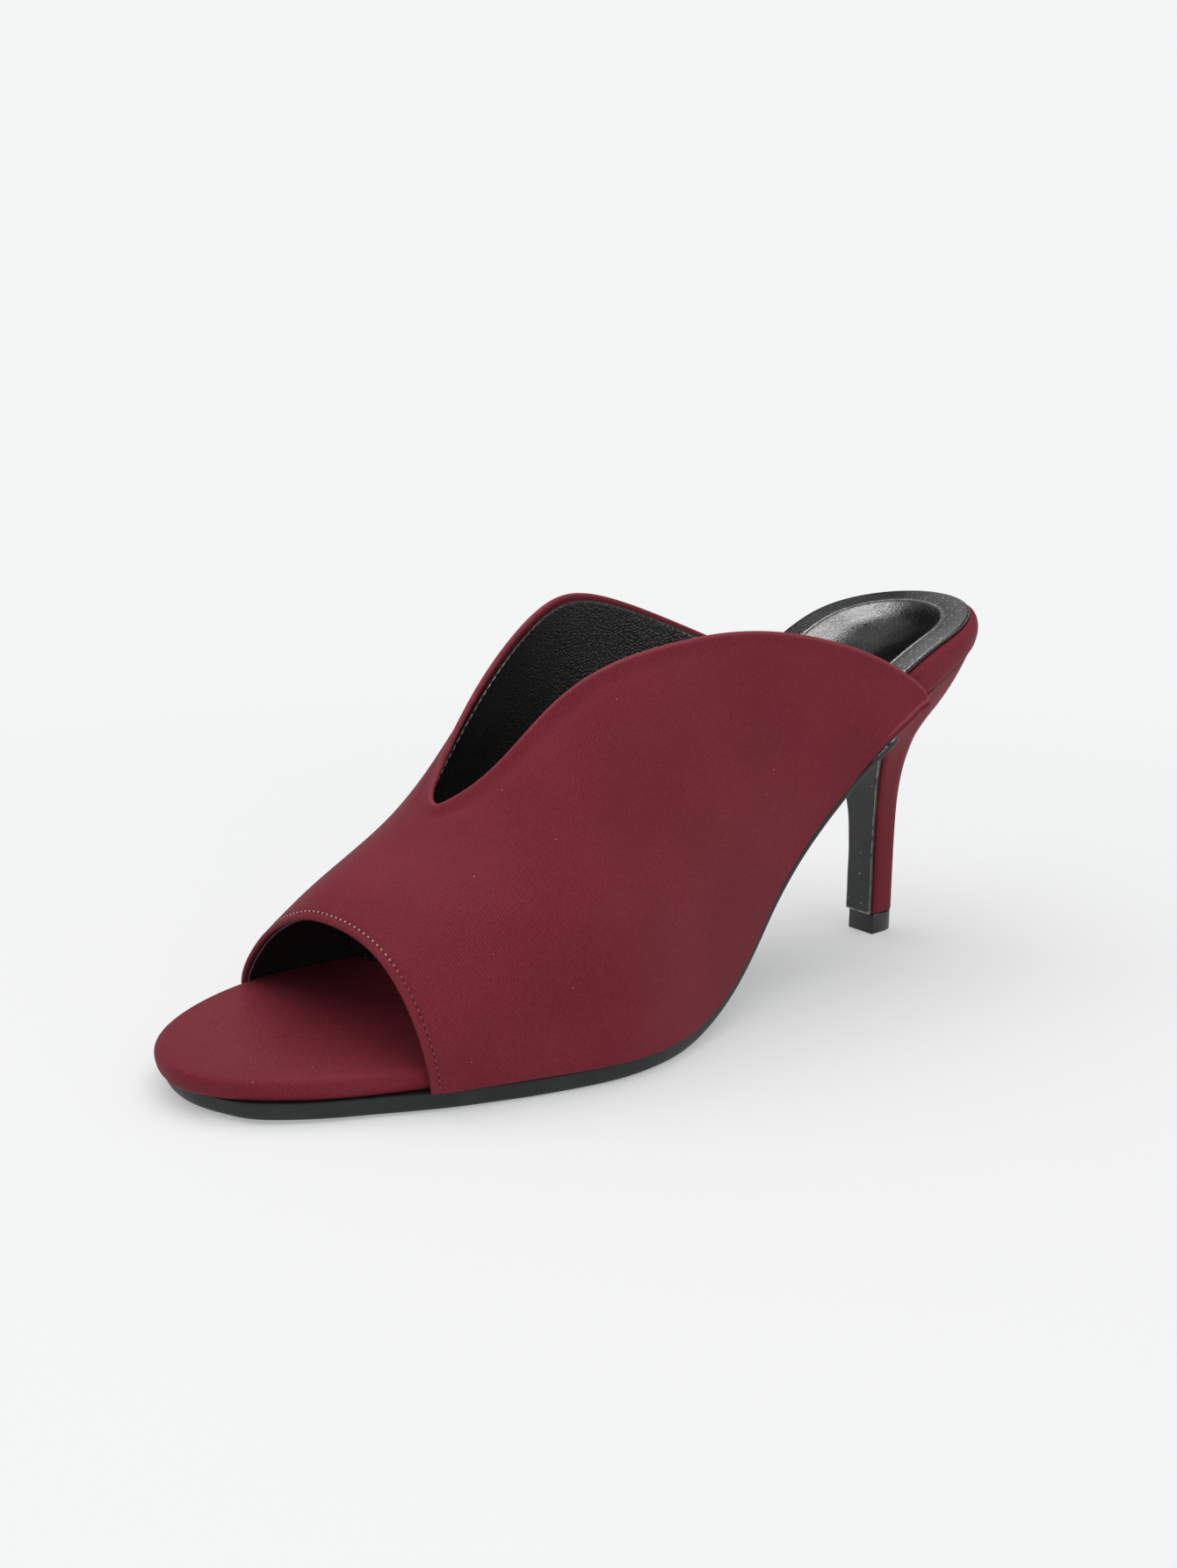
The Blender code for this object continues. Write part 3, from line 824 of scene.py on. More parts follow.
@dataclass(frozen=True)
class ThreadFinish:
    """Sewing thread with a twisted relief, in another colour below a height in metres."""

    name: str
    colour: Colour
    low_colour: Colour
    low_span: Span = (0.0265, 0.0315)
    roughness: float = 0.5
    shaded: float = 0.7
    twist_scale: float = 5200.0
    twist_strength: float = 0.4
    twist_depth: float = 0.00005

    def material(self) -> Material:
        """Make the finish.

        Returns:
            Its Blender material.
        """
        recipe = Recipe(self.name)
        spot = recipe.place()
        twist = recipe.noise(spot, self.twist_scale)
        base = recipe.mixed(twist, scaled(self.colour, self.shaded), self.colour)
        height = recipe.fed(recipe.node("ShaderNodeSeparateXYZ"), Vector=spot).outputs["Z"]
        recipe.set(Base_Color=recipe.mixed(recipe.ranged(height, *self.low_span), self.low_colour, base))
        recipe.set(Normal=recipe.relief(twist, self.twist_strength, self.twist_depth))
        recipe.set(Roughness=self.roughness)
        return recipe.material


@dataclass(frozen=True)
class Stitches:
    """A row of stitches: how far apart, how long and how thick, and how deep they are sunk."""

    spacing: float
    share: float
    thickness: float
    sunk: float
    flatness: float = 1.2
    probe: float = 0.3

    def sew(self, line: Array, normals: Array, last: Last) -> Mesh:
        """Lay stitches along a line.

        Args:
            line: Points in millimetres, close together.
            normals: The surface's unit normal at each.
            last: The form that places them.

        Returns:
            Mesh data of all the stitches.
        """
        run = run_along(line)
        count = int(run[-1] // self.spacing)
        middles = (np.arange(count) + 0.5) * run[-1] / count

        def read(rows: Array, place: Array) -> Array:
            """Rows between the line's own, at given lengths along it."""
            return np.stack([np.interp(place, run, rows[:, k]) for k in range(3)], axis=1)

        tangents = unit(read(line, middles + self.probe) - read(line, middles - self.probe))
        ups = unit(read(normals, middles))
        spots = last.placed(read(line, middles) - ups * self.sunk)
        long, wide = self.spacing * self.share / 2 * MM, self.thickness / 2 * MM
        mesh_data = bmesh.new()
        for spot, tangent, up in zip(spots, tangents, ups):
            axes = tangent * long, np.cross(up, tangent) * wide, up * wide / self.flatness
            turn = Matrix(np.stack(axes, axis=1).tolist())
            matrix = Matrix.Translation(Vector(spot)) @ turn.to_4x4()
            bmesh.ops.create_icosphere(mesh_data, subdivisions=2, radius=1.0, matrix=matrix)
        return mesh_data


@dataclass(frozen=True)
class Crease:
    """A soft trough or ridge on the upper, placed between two given points of the cloth."""

    start: Span
    end: Span
    height: float
    width: float
    end_share: float = 0.08
    roundness: float = 0.8

    def lift(self, cloth: Array) -> Array:
        """How far it lifts the cloth.

        Args:
            cloth: Rows of the cloth's own coordinates in millimetres.

        Returns:
            The lift of each in millimetres.
        """
        first, run = np.array(self.start), np.array(self.end) - np.array(self.start)
        share = np.clip((cloth - first) @ run / (run @ run), 0.0, 1.0)
        distance = np.linalg.norm(cloth - first - share[:, None] * run, axis=1)
        along = self.end_share + (1 - 2 * self.end_share) * share
        return Swell(self.height, 0.0, self.width)(distance) * np.sin(math.pi * along) ** self.roundness


@dataclass
class Shell:
    """One wrapped layer of the upper: an outer face, round edges and an inner face, closed at the sole."""

    last: Last
    toe_cut: ByPlace
    top_cut: ByPlace
    depth: float
    thickness: float
    columns: int
    rows: int
    edge_rows: int = 8
    edge_step: float = 0.55
    roll_rows: int = 5
    probe_round: float = 0.004
    least_reach: float = 0.25
    lift: ByTwo | None = None
    mark: ByTwo | None = None

    @property
    def radius(self) -> float:
        """The round edges' radius."""
        return self.thickness / 2

    @property
    def ring(self) -> int:
        """How many rows go once round the wall."""
        return 2 * self.rows + 2 * self.roll_rows

    def turns(self, column: Array) -> Array:
        """Places round the foot, inner side first, closer together on the ridge and by the sole."""
        straight = 1 - 2 * ramp(column, 1, self.columns - 2)
        return straight * (0.5 + 1.5 * np.abs(straight) - straight**2)

    def edge_out(self, cut: ByPlace, turn: Array, sign: float) -> tuple[Array, Array]:
        """The way out over a cut edge, square to it and in the surface.

        Args:
            cut: Gives the edge's station by turn.
            turn: Places round.
            sign: 1 at the topline and -1 at the toe.

        Returns:
            Unit directions, and the millimetres out per millimetre of station.
        """
        ahead = np.minimum(turn + self.probe_round, 1.0)
        behind = np.maximum(turn - self.probe_round, -1.0)
        run = self.last.upper_face(cut(ahead), ahead) - self.last.upper_face(cut(behind), behind)
        _, along, normal = self.last.upper_frame(cut(turn), turn)
        out = unit(np.cross(run, normal))
        reach = np.sum(out * along, axis=-1)
        out = out * np.sign(reach * sign)[:, None]
        return out, np.maximum(np.abs(reach), self.least_reach)

    def shares(self, row: Array, span: Array) -> Array:
        """Spread rows over the face: close together near both edges and even between them.

        Args:
            row: Rows from the toe edge.
            span: Millimetres of station from edge to edge.

        Returns:
            Millimetres of station from the toe edge.
        """
        step = np.minimum(self.edge_step, span / (4 * self.edge_rows))
        edge = self.edge_rows * step
        inner = (row - self.edge_rows) / (self.rows - 2 * self.edge_rows)
        middle = edge + (span - 2 * edge) * inner
        last = span - (self.rows - row) * step
        near_top = row > self.rows - self.edge_rows
        return np.where(row < self.edge_rows, row * step, np.where(near_top, last, middle))

    def stations(self, turn: Array, row: Array) -> Array:
        """Where the face's rows lie along the spine.

        Args:
            turn: Places round.
            row: Rows from the toe edge.

        Returns:
            Stations.
        """
        toe = self.toe_cut(turn) + self.radius / self.edge_out(self.toe_cut, turn, -1.0)[1]
        top = self.top_cut(turn) - self.radius / self.edge_out(self.top_cut, turn, 1.0)[1]
        return toe + self.shares(row, top - toe)

    def unrolled(self, ring_row: Array) -> tuple[Array, Array]:
        """Sort the rows round the wall.

        Args:
            ring_row: Rows once round the wall, from the outer face's toe edge.

        Returns:
            Rows on the face, and angles round the wall from 0 outside to half a turn inside.
        """
        ring_row = ring_row % self.ring
        n, m = self.rows, self.roll_rows
        face = np.where(ring_row <= n, ring_row, np.where(ring_row < n + m, n, 2 * n + m - ring_row))
        angle = np.where(ring_row <= n, 0.0, math.pi)
        angle = np.where((ring_row > n) & (ring_row < n + m), math.pi * (ring_row - n) / m, angle)
        angle = np.where(ring_row > 2 * n + m, math.pi * (self.ring - ring_row) / m, angle)
        return np.clip(face, 0, n), angle

    def place(self, column: Array, ring_row: Array) -> Array:
        """Where the layer's points lie.

        Args:
            column: Columns round the foot.
            ring_row: Rows round the wall.

        Returns:
            Rows of x, y, z in metres.
        """
        turn = self.turns(column)
        row, angle = self.unrolled(ring_row)
        station = self.stations(turn, row)
        spot, _, normal = self.last.upper_frame(station, turn)
        if self.lift is not None:
            spot = spot + normal * self.lift(station, turn)[:, None]
        heart = spot - normal * (self.depth + self.radius)
        closing = (column == 0) | (column == self.columns)
        toe_out = self.edge_out(self.toe_cut, turn, -1.0)[0]
        top_out = self.edge_out(self.top_cut, turn, 1.0)[0]
        out = np.where((row == 0)[:, None], toe_out, top_out)
        wall = self.radius * (np.cos(angle)[:, None] * normal + np.sin(angle)[:, None] * out)
        return self.last.placed(np.where(closing[:, None], heart, heart + wall))

    def weave(self, column: Array, ring_row: Array) -> Array:
        """The cloth's coordinates in metres at the same points."""
        turn = self.turns(column)
        return self.last.cloth(self.stations(turn, self.unrolled(ring_row)[0]), turn) * MM

    def marked(self, column: Array, ring_row: Array) -> Array:
        """The rim values at the same points."""
        turn = self.turns(column)
        return self.mark(self.stations(turn, self.unrolled(ring_row)[0]), turn)

    def build(self) -> Mesh:
        """The layer's closed mesh, with the cloth's coordinates."""
        marked = self.marked if self.mark else None
        return rolled_grid(self.columns, self.ring, self.place, self.weave, marked)


@dataclass
class Upper:
    """The satin upper with its turned edges, black lining and two rows of stitches."""

    last: Last
    toe_turns: Numbers = (-1.0, -0.65, -0.3, 0.0, 0.3, 0.65, 1.0)
    toe_stations: Numbers = (39.5, 40.2, 41.2, 39.0, 36.7, 36.3, 36.1)
    top_girths: Numbers = (0.0, 0.1, 0.24, 0.44, 0.6, 0.8, 1.0)
    top_outer: Numbers = (76.9, 87.7, 111.7, 139.8, 163.2, 188.3, 208.6)
    top_inner: Numbers = (76.9, 84.2, 118.1, 147.6, 164.1, 185.5, 207.6)
    notch_round: float = 0.05
    tail_girth: float = 0.945
    tail_round: float = 2.0
    tail_from: float = 188.0
    tail_run: float = 8.0
    tail_turn: float = 0.972
    tail_lap: float = 0.4
    # A pale highlight painted along the tail's folded edge, and dark shade painted along its lower edge.
    tail_highlight: Swell = Swell(0.8, 0.989, 0.005)
    tail_shade_turn: float = 0.992
    tail_shade: float = 0.65
    satin_thickness: float = 1.3
    satin_grid: tuple[int, int] = (184, 92)
    lining_depth: float = 1.5
    lining_thickness: float = 0.5
    lining_grid: tuple[int, int] = (150, 70)
    lining_edge_step: float = 0.4
    lining_roll_rows: int = 4
    turn_in_turns: Numbers = (-1.0, 0.0, 0.1, 0.26, 1.0)
    turn_ins: Numbers = (1.6, 2.2, 3.4, 1.5, 1.4)
    turn_in_search: float = 34.0
    turn_in_steps: int = 69
    turn_in_places: tuple[int, float] = (361, 1.5)
    smoothed: int = 5
    edge_places: tuple[int, float] = (1801, 1.3)
    toe_turn_in: float = 0.9
    bead_turns: Numbers = (-1.0, -0.5, -0.25, -0.04, 0.0, 0.05, 1.0)
    bead_shares: Numbers = (0.7, 0.8, 1.5, 1.6, 1.0, 0.8, 0.7)
    top_relief: tuple[Swell, ...] = (Swell(0.27, 0.6, 1.6), Swell(-0.24, 3.7, 1.6))
    # A pale highlight painted along the folded topline.
    top_highlight: Swell = Swell(0.7, 0.2, 0.6)
    toe_row: float = 1.9
    toe_relief: tuple[Swell, ...] = (Swell(0.06, -1.0, 0.7), Swell(-0.15, 0.0, 0.45), Swell(0.06, 1.2, 0.8))
    # A pale highlight painted along the folded toe edge.
    toe_highlight: Swell = Swell(0.3, 0.2, 0.45)
    toe_reach: float = 0.985
    toe_places: int = 500
    toe_stitches: Stitches = Stitches(spacing=1.5, share=0.42, thickness=0.42, sunk=-0.05)
    toe_holes: Stitches = Stitches(spacing=1.5, share=0.55, thickness=0.4, sunk=0.05)
    lining_row: float = 0.75
    lining_places: tuple[int, float, float] = (900, 1.4, 0.97)
    lining_stitches: Stitches = Stitches(spacing=2.0, share=0.8, thickness=0.28, sunk=0.02)
    creases: tuple[Crease, ...] = (
        Crease((75.5, -6.0), (86.0, -17.0), -0.22, 2.4),
        Crease((74.2, -1.4), (70.5, -2.2), -0.1, 0.8),
        Crease((74.6, 0.8), (71.5, 0.9), -0.08, 0.7),
    )

    def __post_init__(self) -> None:
        """Make the cut edges' curves."""
        self.toe_cut = Curve(self.toe_turns, self.toe_stations)
        self.top_curves = {
            Side.OUTER: Curve(self.top_girths, self.top_outer),
            Side.INNER: Curve(self.top_girths, self.top_inner),
        }

    def top_cut(self, turn: Array) -> Array:
        """The topline, rounded in the V and at the tails.

        Args:
            turn: Places round.

        Returns:
            Its station at each.
        """
        girth = np.abs(turn)
        soft = girth**2 / np.hypot(girth, self.notch_round)
        cut = np.where(turn > 0, self.top_curves[Side.INNER](soft), self.top_curves[Side.OUTER](soft))
        tail = np.maximum(0.0, (girth - self.tail_girth) / (1 - self.tail_girth))
        return cut - self.tail_round * tail**2

    def lining_toe(self, turn: Array) -> Array:
        """The lining's toe edge, set back from the satin's."""
        return self.toe_cut(turn) + self.toe_turn_in

    def distance_to(self, cut: ByPlace, points: Array) -> Array:
        """How far points are from a cut edge.

        Args:
            cut: Gives the edge's station by turn.
            points: Rows in millimetres.

        Returns:
            The distances in millimetres.
        """
        turn = crowded(*self.edge_places)
        line = self.last.upper_face(cut(turn), turn)
        tree = KDTree(len(line))
        for i, spot in enumerate(line):
            tree.insert(spot, i)
        tree.balance()
        return np.array([tree.find(point)[2] for point in points])

    def set_back(self, cut: ByPlace) -> ByPlace:
        """The topline moved down by the width of the satin's turn-in.

        Args:
            cut: Gives the topline's station by turn.

        Returns:
            The moved line's station by turn.
        """
        turn = crowded(*self.turn_in_places)
        back = np.linspace(0.0, self.turn_in_search, self.turn_in_steps)
        station = cut(turn)[:, None] - back[None, :]
        wide = np.broadcast_to(turn[:, None], station.shape)
        points = self.last.upper_face(station.ravel(), wide.ravel())
        margin = self.distance_to(cut, points).reshape(station.shape)
        moved = np.empty(len(turn))
        margins = np.interp(turn, self.turn_in_turns, self.turn_ins)
        for i, (row, by) in enumerate(zip(margin, margins)):
            first = int(np.argmax(row >= by))
            share = (by - row[first - 1]) / (row[first] - row[first - 1])
            moved[i] = station[i, first - 1] + share * (station[i, first] - station[i, first - 1])
        padded = np.pad(moved, self.smoothed // 2, mode="edge")
        moved = np.convolve(padded, np.ones(self.smoothed) / self.smoothed, mode="valid")
        return partial(np.interp, xp=turn, fp=moved)

    def tail(self, station: Array, turn: Array, low_turn: float) -> Array:
        """How far a place belongs to the tail's lower edge, which laps over the heel's cover.

        Args:
            station: Places along the spine.
            turn: Places round.
            low_turn: Where the edge starts.

        Returns:
            The share at each place, from 0 to 1.
        """
        low = ramp(np.abs(turn), low_turn, 1 - low_turn)
        return low * ramp(station, self.tail_from, self.tail_run)

    def lift(self, station: Array, turn: Array) -> Array:
        """The satin's soft relief: bead and trough by the topline, the sewn toe edge, the tail and creases.

        Args:
            station: Places along the spine.
            turn: Places round.

        Returns:
            The lift of each place in millimetres.
        """
        points = self.last.upper_face(station, turn)
        top = self.distance_to(self.top_cut, points)
        toe = self.distance_to(self.toe_cut, points)
        bead = np.interp(turn, self.bead_turns, self.bead_shares)
        lift = bead * sum(swell(top) for swell in self.top_relief)
        lift = lift + sum(swell(toe - self.toe_row) for swell in self.toe_relief)
        lift = lift + self.tail_lap * self.tail(station, turn, self.tail_turn)
        cloth = self.last.cloth(station, turn)
        return lift + sum(crease.lift(cloth) for crease in self.creases)

    def painted_edge_light(self, station: Array, turn: Array) -> Array:
        """Painted pale highlights along the folded edges, and painted dark shade along the tail's lower edge.

        Args:
            station: Places along the spine.
            turn: Places round.

        Returns:
            The rim value at each place.
        """
        points = self.last.upper_face(station, turn)
        top = self.top_highlight(self.distance_to(self.top_cut, points))
        toe = self.toe_highlight(self.distance_to(self.toe_cut, points))
        painted_highlight = ramp(station, self.tail_from, self.tail_run) * self.tail_highlight(np.abs(turn))
        painted_shade = self.tail(station, turn, self.tail_shade_turn)
        return np.where(painted_shade > 0, -self.tail_shade * painted_shade, np.maximum(top, np.maximum(toe, painted_highlight)))

    def build(self) -> None:
        """Make the satin, the lining and the stitches."""
        self.satin = Shell(
            self.last, self.toe_cut, self.top_cut, 0.0, self.satin_thickness, *self.satin_grid,
            lift=self.lift, mark=self.painted_edge_light,
        ).build()
        lining_top = self.set_back(self.top_cut)
        self.lining = Shell(
            self.last, self.lining_toe, lining_top, self.lining_depth, self.lining_thickness,
            *self.lining_grid, edge_step=self.lining_edge_step, roll_rows=self.lining_roll_rows,
        ).build()
        self.sew_toe()
        self.sew_lining(lining_top)

    def sew_toe(self) -> None:
        """Sew the toe edge, with needle holes between the stitches."""
        turn = np.linspace(-self.toe_reach, self.toe_reach, self.toe_places)
        along = self.last.upper_frame(self.toe_cut(turn), turn)[1]
        station = self.toe_cut(turn) + self.toe_row / np.linalg.norm(along, axis=1)
        spot, _, normal = self.last.upper_frame(station, turn)
        spot = spot + normal * self.lift(station, turn)[:, None]
        self.toe_thread = self.toe_stitches.sew(spot, normal, self.last)
        # Dark dots stand for the needle holes; their darkness is painted shade.
        start = int(np.searchsorted(run_along(spot), self.toe_stitches.spacing / 2))
        self.toe_hole = self.toe_holes.sew(spot[start:-start], normal[start:-start], self.last)

    def sew_lining(self, lining_top: ByPlace) -> None:
        """Sew the lining below its top edge.

        Args:
            lining_top: Gives that edge's station by turn.
        """
        turn = crowded(*self.lining_places)
        spot, _, normal = self.last.upper_frame(lining_top(turn) - self.lining_row, turn)
        spot = spot - normal * (self.lining_depth + self.lining_thickness)
        self.lining_thread = self.lining_stitches.sew(spot, -normal, self.last)

    def dress(self, satin: Material) -> list[Piece]:
        """Give the layers their finishes and let them ride on the shoe.

        Args:
            satin: The satin's material.

        Returns:
            The pieces.
        """
        lining = LeatherFinish(
            "black_lining", rgb(0.026, 0.0265, 0.025), roughness=0.32, grain_scale=1700.0, strength=0.8
        )
        # The toe thread is painted pale above its low span as a highlight where the stitches catch the light,
        # and keeps its own burgundy lower down.
        thread = ThreadFinish("burgundy_thread_with_painted_highlight", rgb(0.54, 0.29, 0.29), rgb(0.22, 0.035, 0.05))
        # The needle holes are dark dots: the holes are real, and their darkness is painted shade, deeper
        # lower down.
        hole = ThreadFinish(
            "needle_hole", rgb(0.02, 0.003, 0.005), rgb(0.012, 0.002, 0.003), roughness=0.8
        )
        pale = ThreadFinish(
            "pale_thread", rgb(0.07, 0.072, 0.068), rgb(0.5, 0.52, 0.48), low_span=(0.074, 0.086)
        )
        made = [fit_to_part(new_piece("upper_satin", self.satin, satin), "upper")]
        for name, mesh_data, finish, slot in (
            ("upper_lining", self.lining, lining, "black_sock"),
            ("toe_edge_stitches", self.toe_thread, thread, "burgundy_satin"),
            ("toe_edge_needle_holes", self.toe_hole, hole, "burgundy_satin"),
            ("lining_stitches", self.lining_thread, pale, "black_sock"),
        ):
            made.append(fit_to_part(new_piece(name, mesh_data, finish.material())))
        return made


@dataclass(frozen=True)
class Row:
    """One row of a slab's profile.

    Inset is from the rim, share the way from there to the middle line, level between low and high, dish the
    share of the heel's hollow, and under and over the shares of the rounding below and above.
    """

    inset: float
    share: float = 0.0
    level: float = 0.0
    dish: float = 0.0
    under: float = 0.0
    over: float = 0.0


@dataclass
class Slab:
    """A flat layer over the insole pattern, bent along the spine."""

    last: Last
    profile: tuple[Row, ...]
    low: ByPlace
    high: ByPlace
    start: float
    stop: float
    ends: Span
    trim: ByTwo = nothing
    dish: ByPlace = nothing
    toe_steps: int = 22
    side_steps: int = 60
    heel_steps: int = 18
    across_steps: int = 14
    tongue: float = 0.0
    tongue_power: float = 4.0
    mark: ByThree | None = None

    def __post_init__(self) -> None:
        """Work out the outline, and set the profile's values out by name."""
        self.rim_station, self.rim_across = self.outline()
        values = np.array([astuple(row) for row in self.profile]).T
        self.table = {item.name: column for item, column in zip(fields(Row), values)}

    def outline(self) -> tuple[Array, Array]:
        """The closed outline, from the toe down the outer side and back.

        Returns:
            Stations and offsets across.
        """
        last = self.last
        toe = last.toe_cap * (1 - np.cos(np.linspace(0, math.pi / 2, self.toe_steps + 1)))
        heel = last.heel_cap * (1 - np.cos(np.linspace(0, math.pi / 2, self.heel_steps + 1)))
        side = np.linspace(last.toe_cap, last.length - last.heel_cap, self.side_steps + 1)[1:-1]
        stations = np.concatenate([toe, side, (last.length - heel)[::-1]])
        near = stations[1] / 2
        stations = stations[(stations > self.start + near) & (stations < self.stop - near)]
        stations = np.concatenate([[self.start], stations, [self.stop]])
        outer, inner = last.edge(stations, Side.OUTER), last.edge(stations, Side.INNER)
        share = np.arange(1, self.across_steps) / self.across_steps
        back = outer[-1] + (inner[-1] - outer[-1]) * share if inner[-1] > outer[-1] else np.zeros(0)
        front = inner[0] + (outer[0] - inner[0]) * share if inner[0] > outer[0] else np.zeros(0)
        bow = self.tongue * (1 - np.abs(2 * share - 1) ** self.tongue_power)
        ends = np.full(len(back), self.stop), self.start + (bow if len(front) else front)
        return (
            np.concatenate([stations, ends[0], stations[::-1], ends[1]]),
            np.concatenate([outer, back, inner[::-1], front]),
        )

    def rim(self, column: Array) -> tuple[Array, Array]:
        """Stations and offsets across of the outline's points, counted round and round."""
        here = column % len(self.rim_station)
        return self.rim_station[here], self.rim_across[here]

    def flat(self, column: Array, row: Array) -> tuple[Array, Array]:
        """Where points lie on the pattern.

        Args:
            column: Points of the outline.
            row: Rows of the profile.

        Returns:
            Stations and offsets across.
        """
        table = self.table
        rim_s, rim_a = self.rim(column)
        heart_s = np.clip(rim_s, self.start + self.tongue + self.ends[0], self.stop - self.ends[1])
        heart_a = self.last.middle(heart_s)
        reach = np.hypot(heart_s - rim_s, heart_a - rim_a)
        inset = table["inset"][row] + table["under"][row] * self.last.under_round(rim_s)
        inset = inset + self.trim(rim_s, rim_a) + table["over"][row] * self.last.over_round(rim_s)
        inset = np.minimum(1.0, (inset + table["share"][row] * (reach - inset)) / reach)
        return rim_s + (heart_s - rim_s) * inset, rim_a + (heart_a - rim_a) * inset

    def place(self, column: Array, row: Array) -> Array:
        """Where points lie on the shoe.

        Args:
            column: Points of the outline.
            row: Rows of the profile.

        Returns:
            Rows of x, y, z in metres.
        """
        spot_s, spot_a = self.flat(column, row)
        low, high = self.low(spot_s), self.high(spot_s)
        height = low + (high - low) * self.table["level"][row] - self.table["dish"][row] * self.dish(spot_s)
        return self.last.placed(self.last.at(spot_s, spot_a, height))

    def weave(self, column: Array, row: Array) -> Array:
        """The cloth's coordinates from above, with the rim folded out.

        Args:
            column: Points of the outline.
            row: Rows of the profile.

        Returns:
            Rows of two in metres.
        """
        rim_s, rim_a = self.rim(column)
        out = unit(np.stack([np.zeros_like(rim_a), rim_a - self.last.middle(rim_s)], axis=-1))
        on_rim = self.table["share"][row] == 0
        drop = (1 - self.table["level"][row]) * (self.high(rim_s) - self.low(rim_s)) * on_rim
        return (np.stack(self.flat(column, row), axis=-1) + out * drop[:, None]) * MM

    def marked(self, column: Array, row: Array) -> Array:
        """The rim values at the same points."""
        return self.mark(*self.rim(column), row)

    def build(self) -> Mesh:
        """Make the slab's closed mesh, with the cloth's coordinates.

        Returns:
            Its mesh data.
        """
        columns, rows = len(self.rim_station), len(self.profile) - 1
        marked = self.marked if self.mark else None
        return rolled_grid(columns, rows, self.place, self.weave, marked)


@dataclass
class Bottom:
    """What the foot stands on: the wrapped footbed, the sock on it and the outsole under it."""

    last: Last
    stations: Numbers = (0.0, 60.0, 96.0, 132.0, 190.0, 215.0, 246.0)
    outsole_thickness: Numbers = (3.8, 4.2, 4.2, 2.0, 2.0, 2.0, 2.0)
    footbed_thickness: Numbers = (4.6, 4.6, 5.0, 5.8, 7.4, 7.8, 7.8)
    footbed_stations: Numbers = (0.0, 200.0, 212.0, 246.0)
    footbed_lows: Numbers = (0.05, 0.05, -0.3, -0.3)
    footbed_ends: Span = (24.0, 24.0)
    dish_depth: Numbers = (0.0, 0.0, 0.0, 0.0, 0.9, 2.8, 2.8)
    sock_front: float = 60.0
    sock_tongue: float = 14.0
    sock_ends: Span = (14.0, 24.0)
    sock_thickness: float = 1.0
    border: float = 6.5
    border_dish: float = 0.12
    margin_stations: Numbers = (0.0, 60.0, 120.0, 170.0, 205.0, 228.0, 246.0)
    sock_margins: Numbers = (4.2, 4.0, 2.6, 1.6, 1.1, 1.5, 2.1)
    sock_inner_margin: float = 1.5
    # Painted glints on the embossed line, and a painted grey reflection on the outer border, from the instep
    # back.
    glint_from: float = 150.0
    glint_run: float = 20.0
    border_rows: tuple[int, int] = (7, 10)
    border_reflections: Span = (0.6, 0.27)
    border_lean: Span = (0.75, 1.5)
    embossed_rows: tuple[int, int] = (11, 13)
    embossed_glint: float = 0.8
    breast_station: float = 198.0
    breast_welt: float = 3.3
    outsole_ends: Span = (24.0, 4.0)
    trim_stations: Numbers = (0.0, 5.0, 9.0, 30.0, 44.0, 60.0, 90.0, 117.0, 150.0, 178.0, 192.0, 200.0)
    trim_insets: Numbers = (2.8, 1.2, -0.3, -0.1, -1.4, -2.1, -1.4, -1.8, -2.3, -2.3, -3.3, -3.3)
    worn_rows: tuple[int, ...] = (4, 5, 9, 10)
    wear_from: float = 181.0
    wear_run: float = 8.0
    end_wear: float = 0.9
    # A faint glint painted along the outsole's top edge by the toe; at this height it stays under the
    # finish's worn_from and does not show.
    toe_glint_row: int = 10
    toe_glint: Swell = Swell(0.4, 40.0, 6.0)

    def by_station(self, values: Numbers) -> ByPlace:
        """A value by station, in straight steps."""
        return partial(np.interp, xp=self.stations, fp=values)

    def footbed_low(self, station: Array) -> Array:
        """The footbed's underside over the spine."""
        return np.interp(station, self.footbed_stations, self.footbed_lows)

    def footbed_top(self, station: Array) -> Array:
        """The footbed's top over the spine."""
        return self.last.gap + self.by_station(self.footbed_thickness)(station)

    def sock_low(self, station: Array) -> Array:
        """The sock's underside over the spine."""
        return self.footbed_top(station) + self.last.gap

    def sock_top(self, station: Array) -> Array:
        """The sock's top over the spine."""
        return self.sock_low(station) + self.sock_thickness

    def sock_margin(self, station: Array, across: Array) -> Array:
        """How far the sock stands in from the rim, more on the inner side."""
        lean = np.clip(self.last.lean(station, across), 0.0, 1.0)
        return np.interp(station, self.margin_stations, self.sock_margins) + self.sock_inner_margin * lean

    def sock_glints(self, station: Array, across: Array, row: Array) -> Array:
        """Where the sock's embossed line gets painted glints from the instep back, and its border a painted
        grey reflection.

        Args:
            station: Places along the spine.
            across: Offsets to the inner side.
            row: Rows of the sock's profile.

        Returns:
            The rim value at each point, from 0 to 1.
        """
        back = ramp(station, self.glint_from, self.glint_run)
        outer = np.clip(self.border_lean[0] - self.border_lean[1] * self.last.lean(station, across), 0.0, 1.0)
        border = back * outer * np.interp(row, self.border_rows, self.border_reflections)
        on_border = (row >= self.border_rows[0]) & (row <= self.border_rows[1])
        embossed = (row >= self.embossed_rows[0]) & (row <= self.embossed_rows[1])
        return np.where(embossed, self.embossed_glint * back, np.where(on_border, border, 0.0))

    def sole_low(self, station: Array) -> Array:
        """The outsole's underside over the spine."""
        return -self.by_station(self.outsole_thickness)(station)

    def sole_trim(self, station: Array, _: Array) -> Array:
        """How far the outsole stands in from the rim."""
        return np.interp(station, self.trim_stations, self.trim_insets)

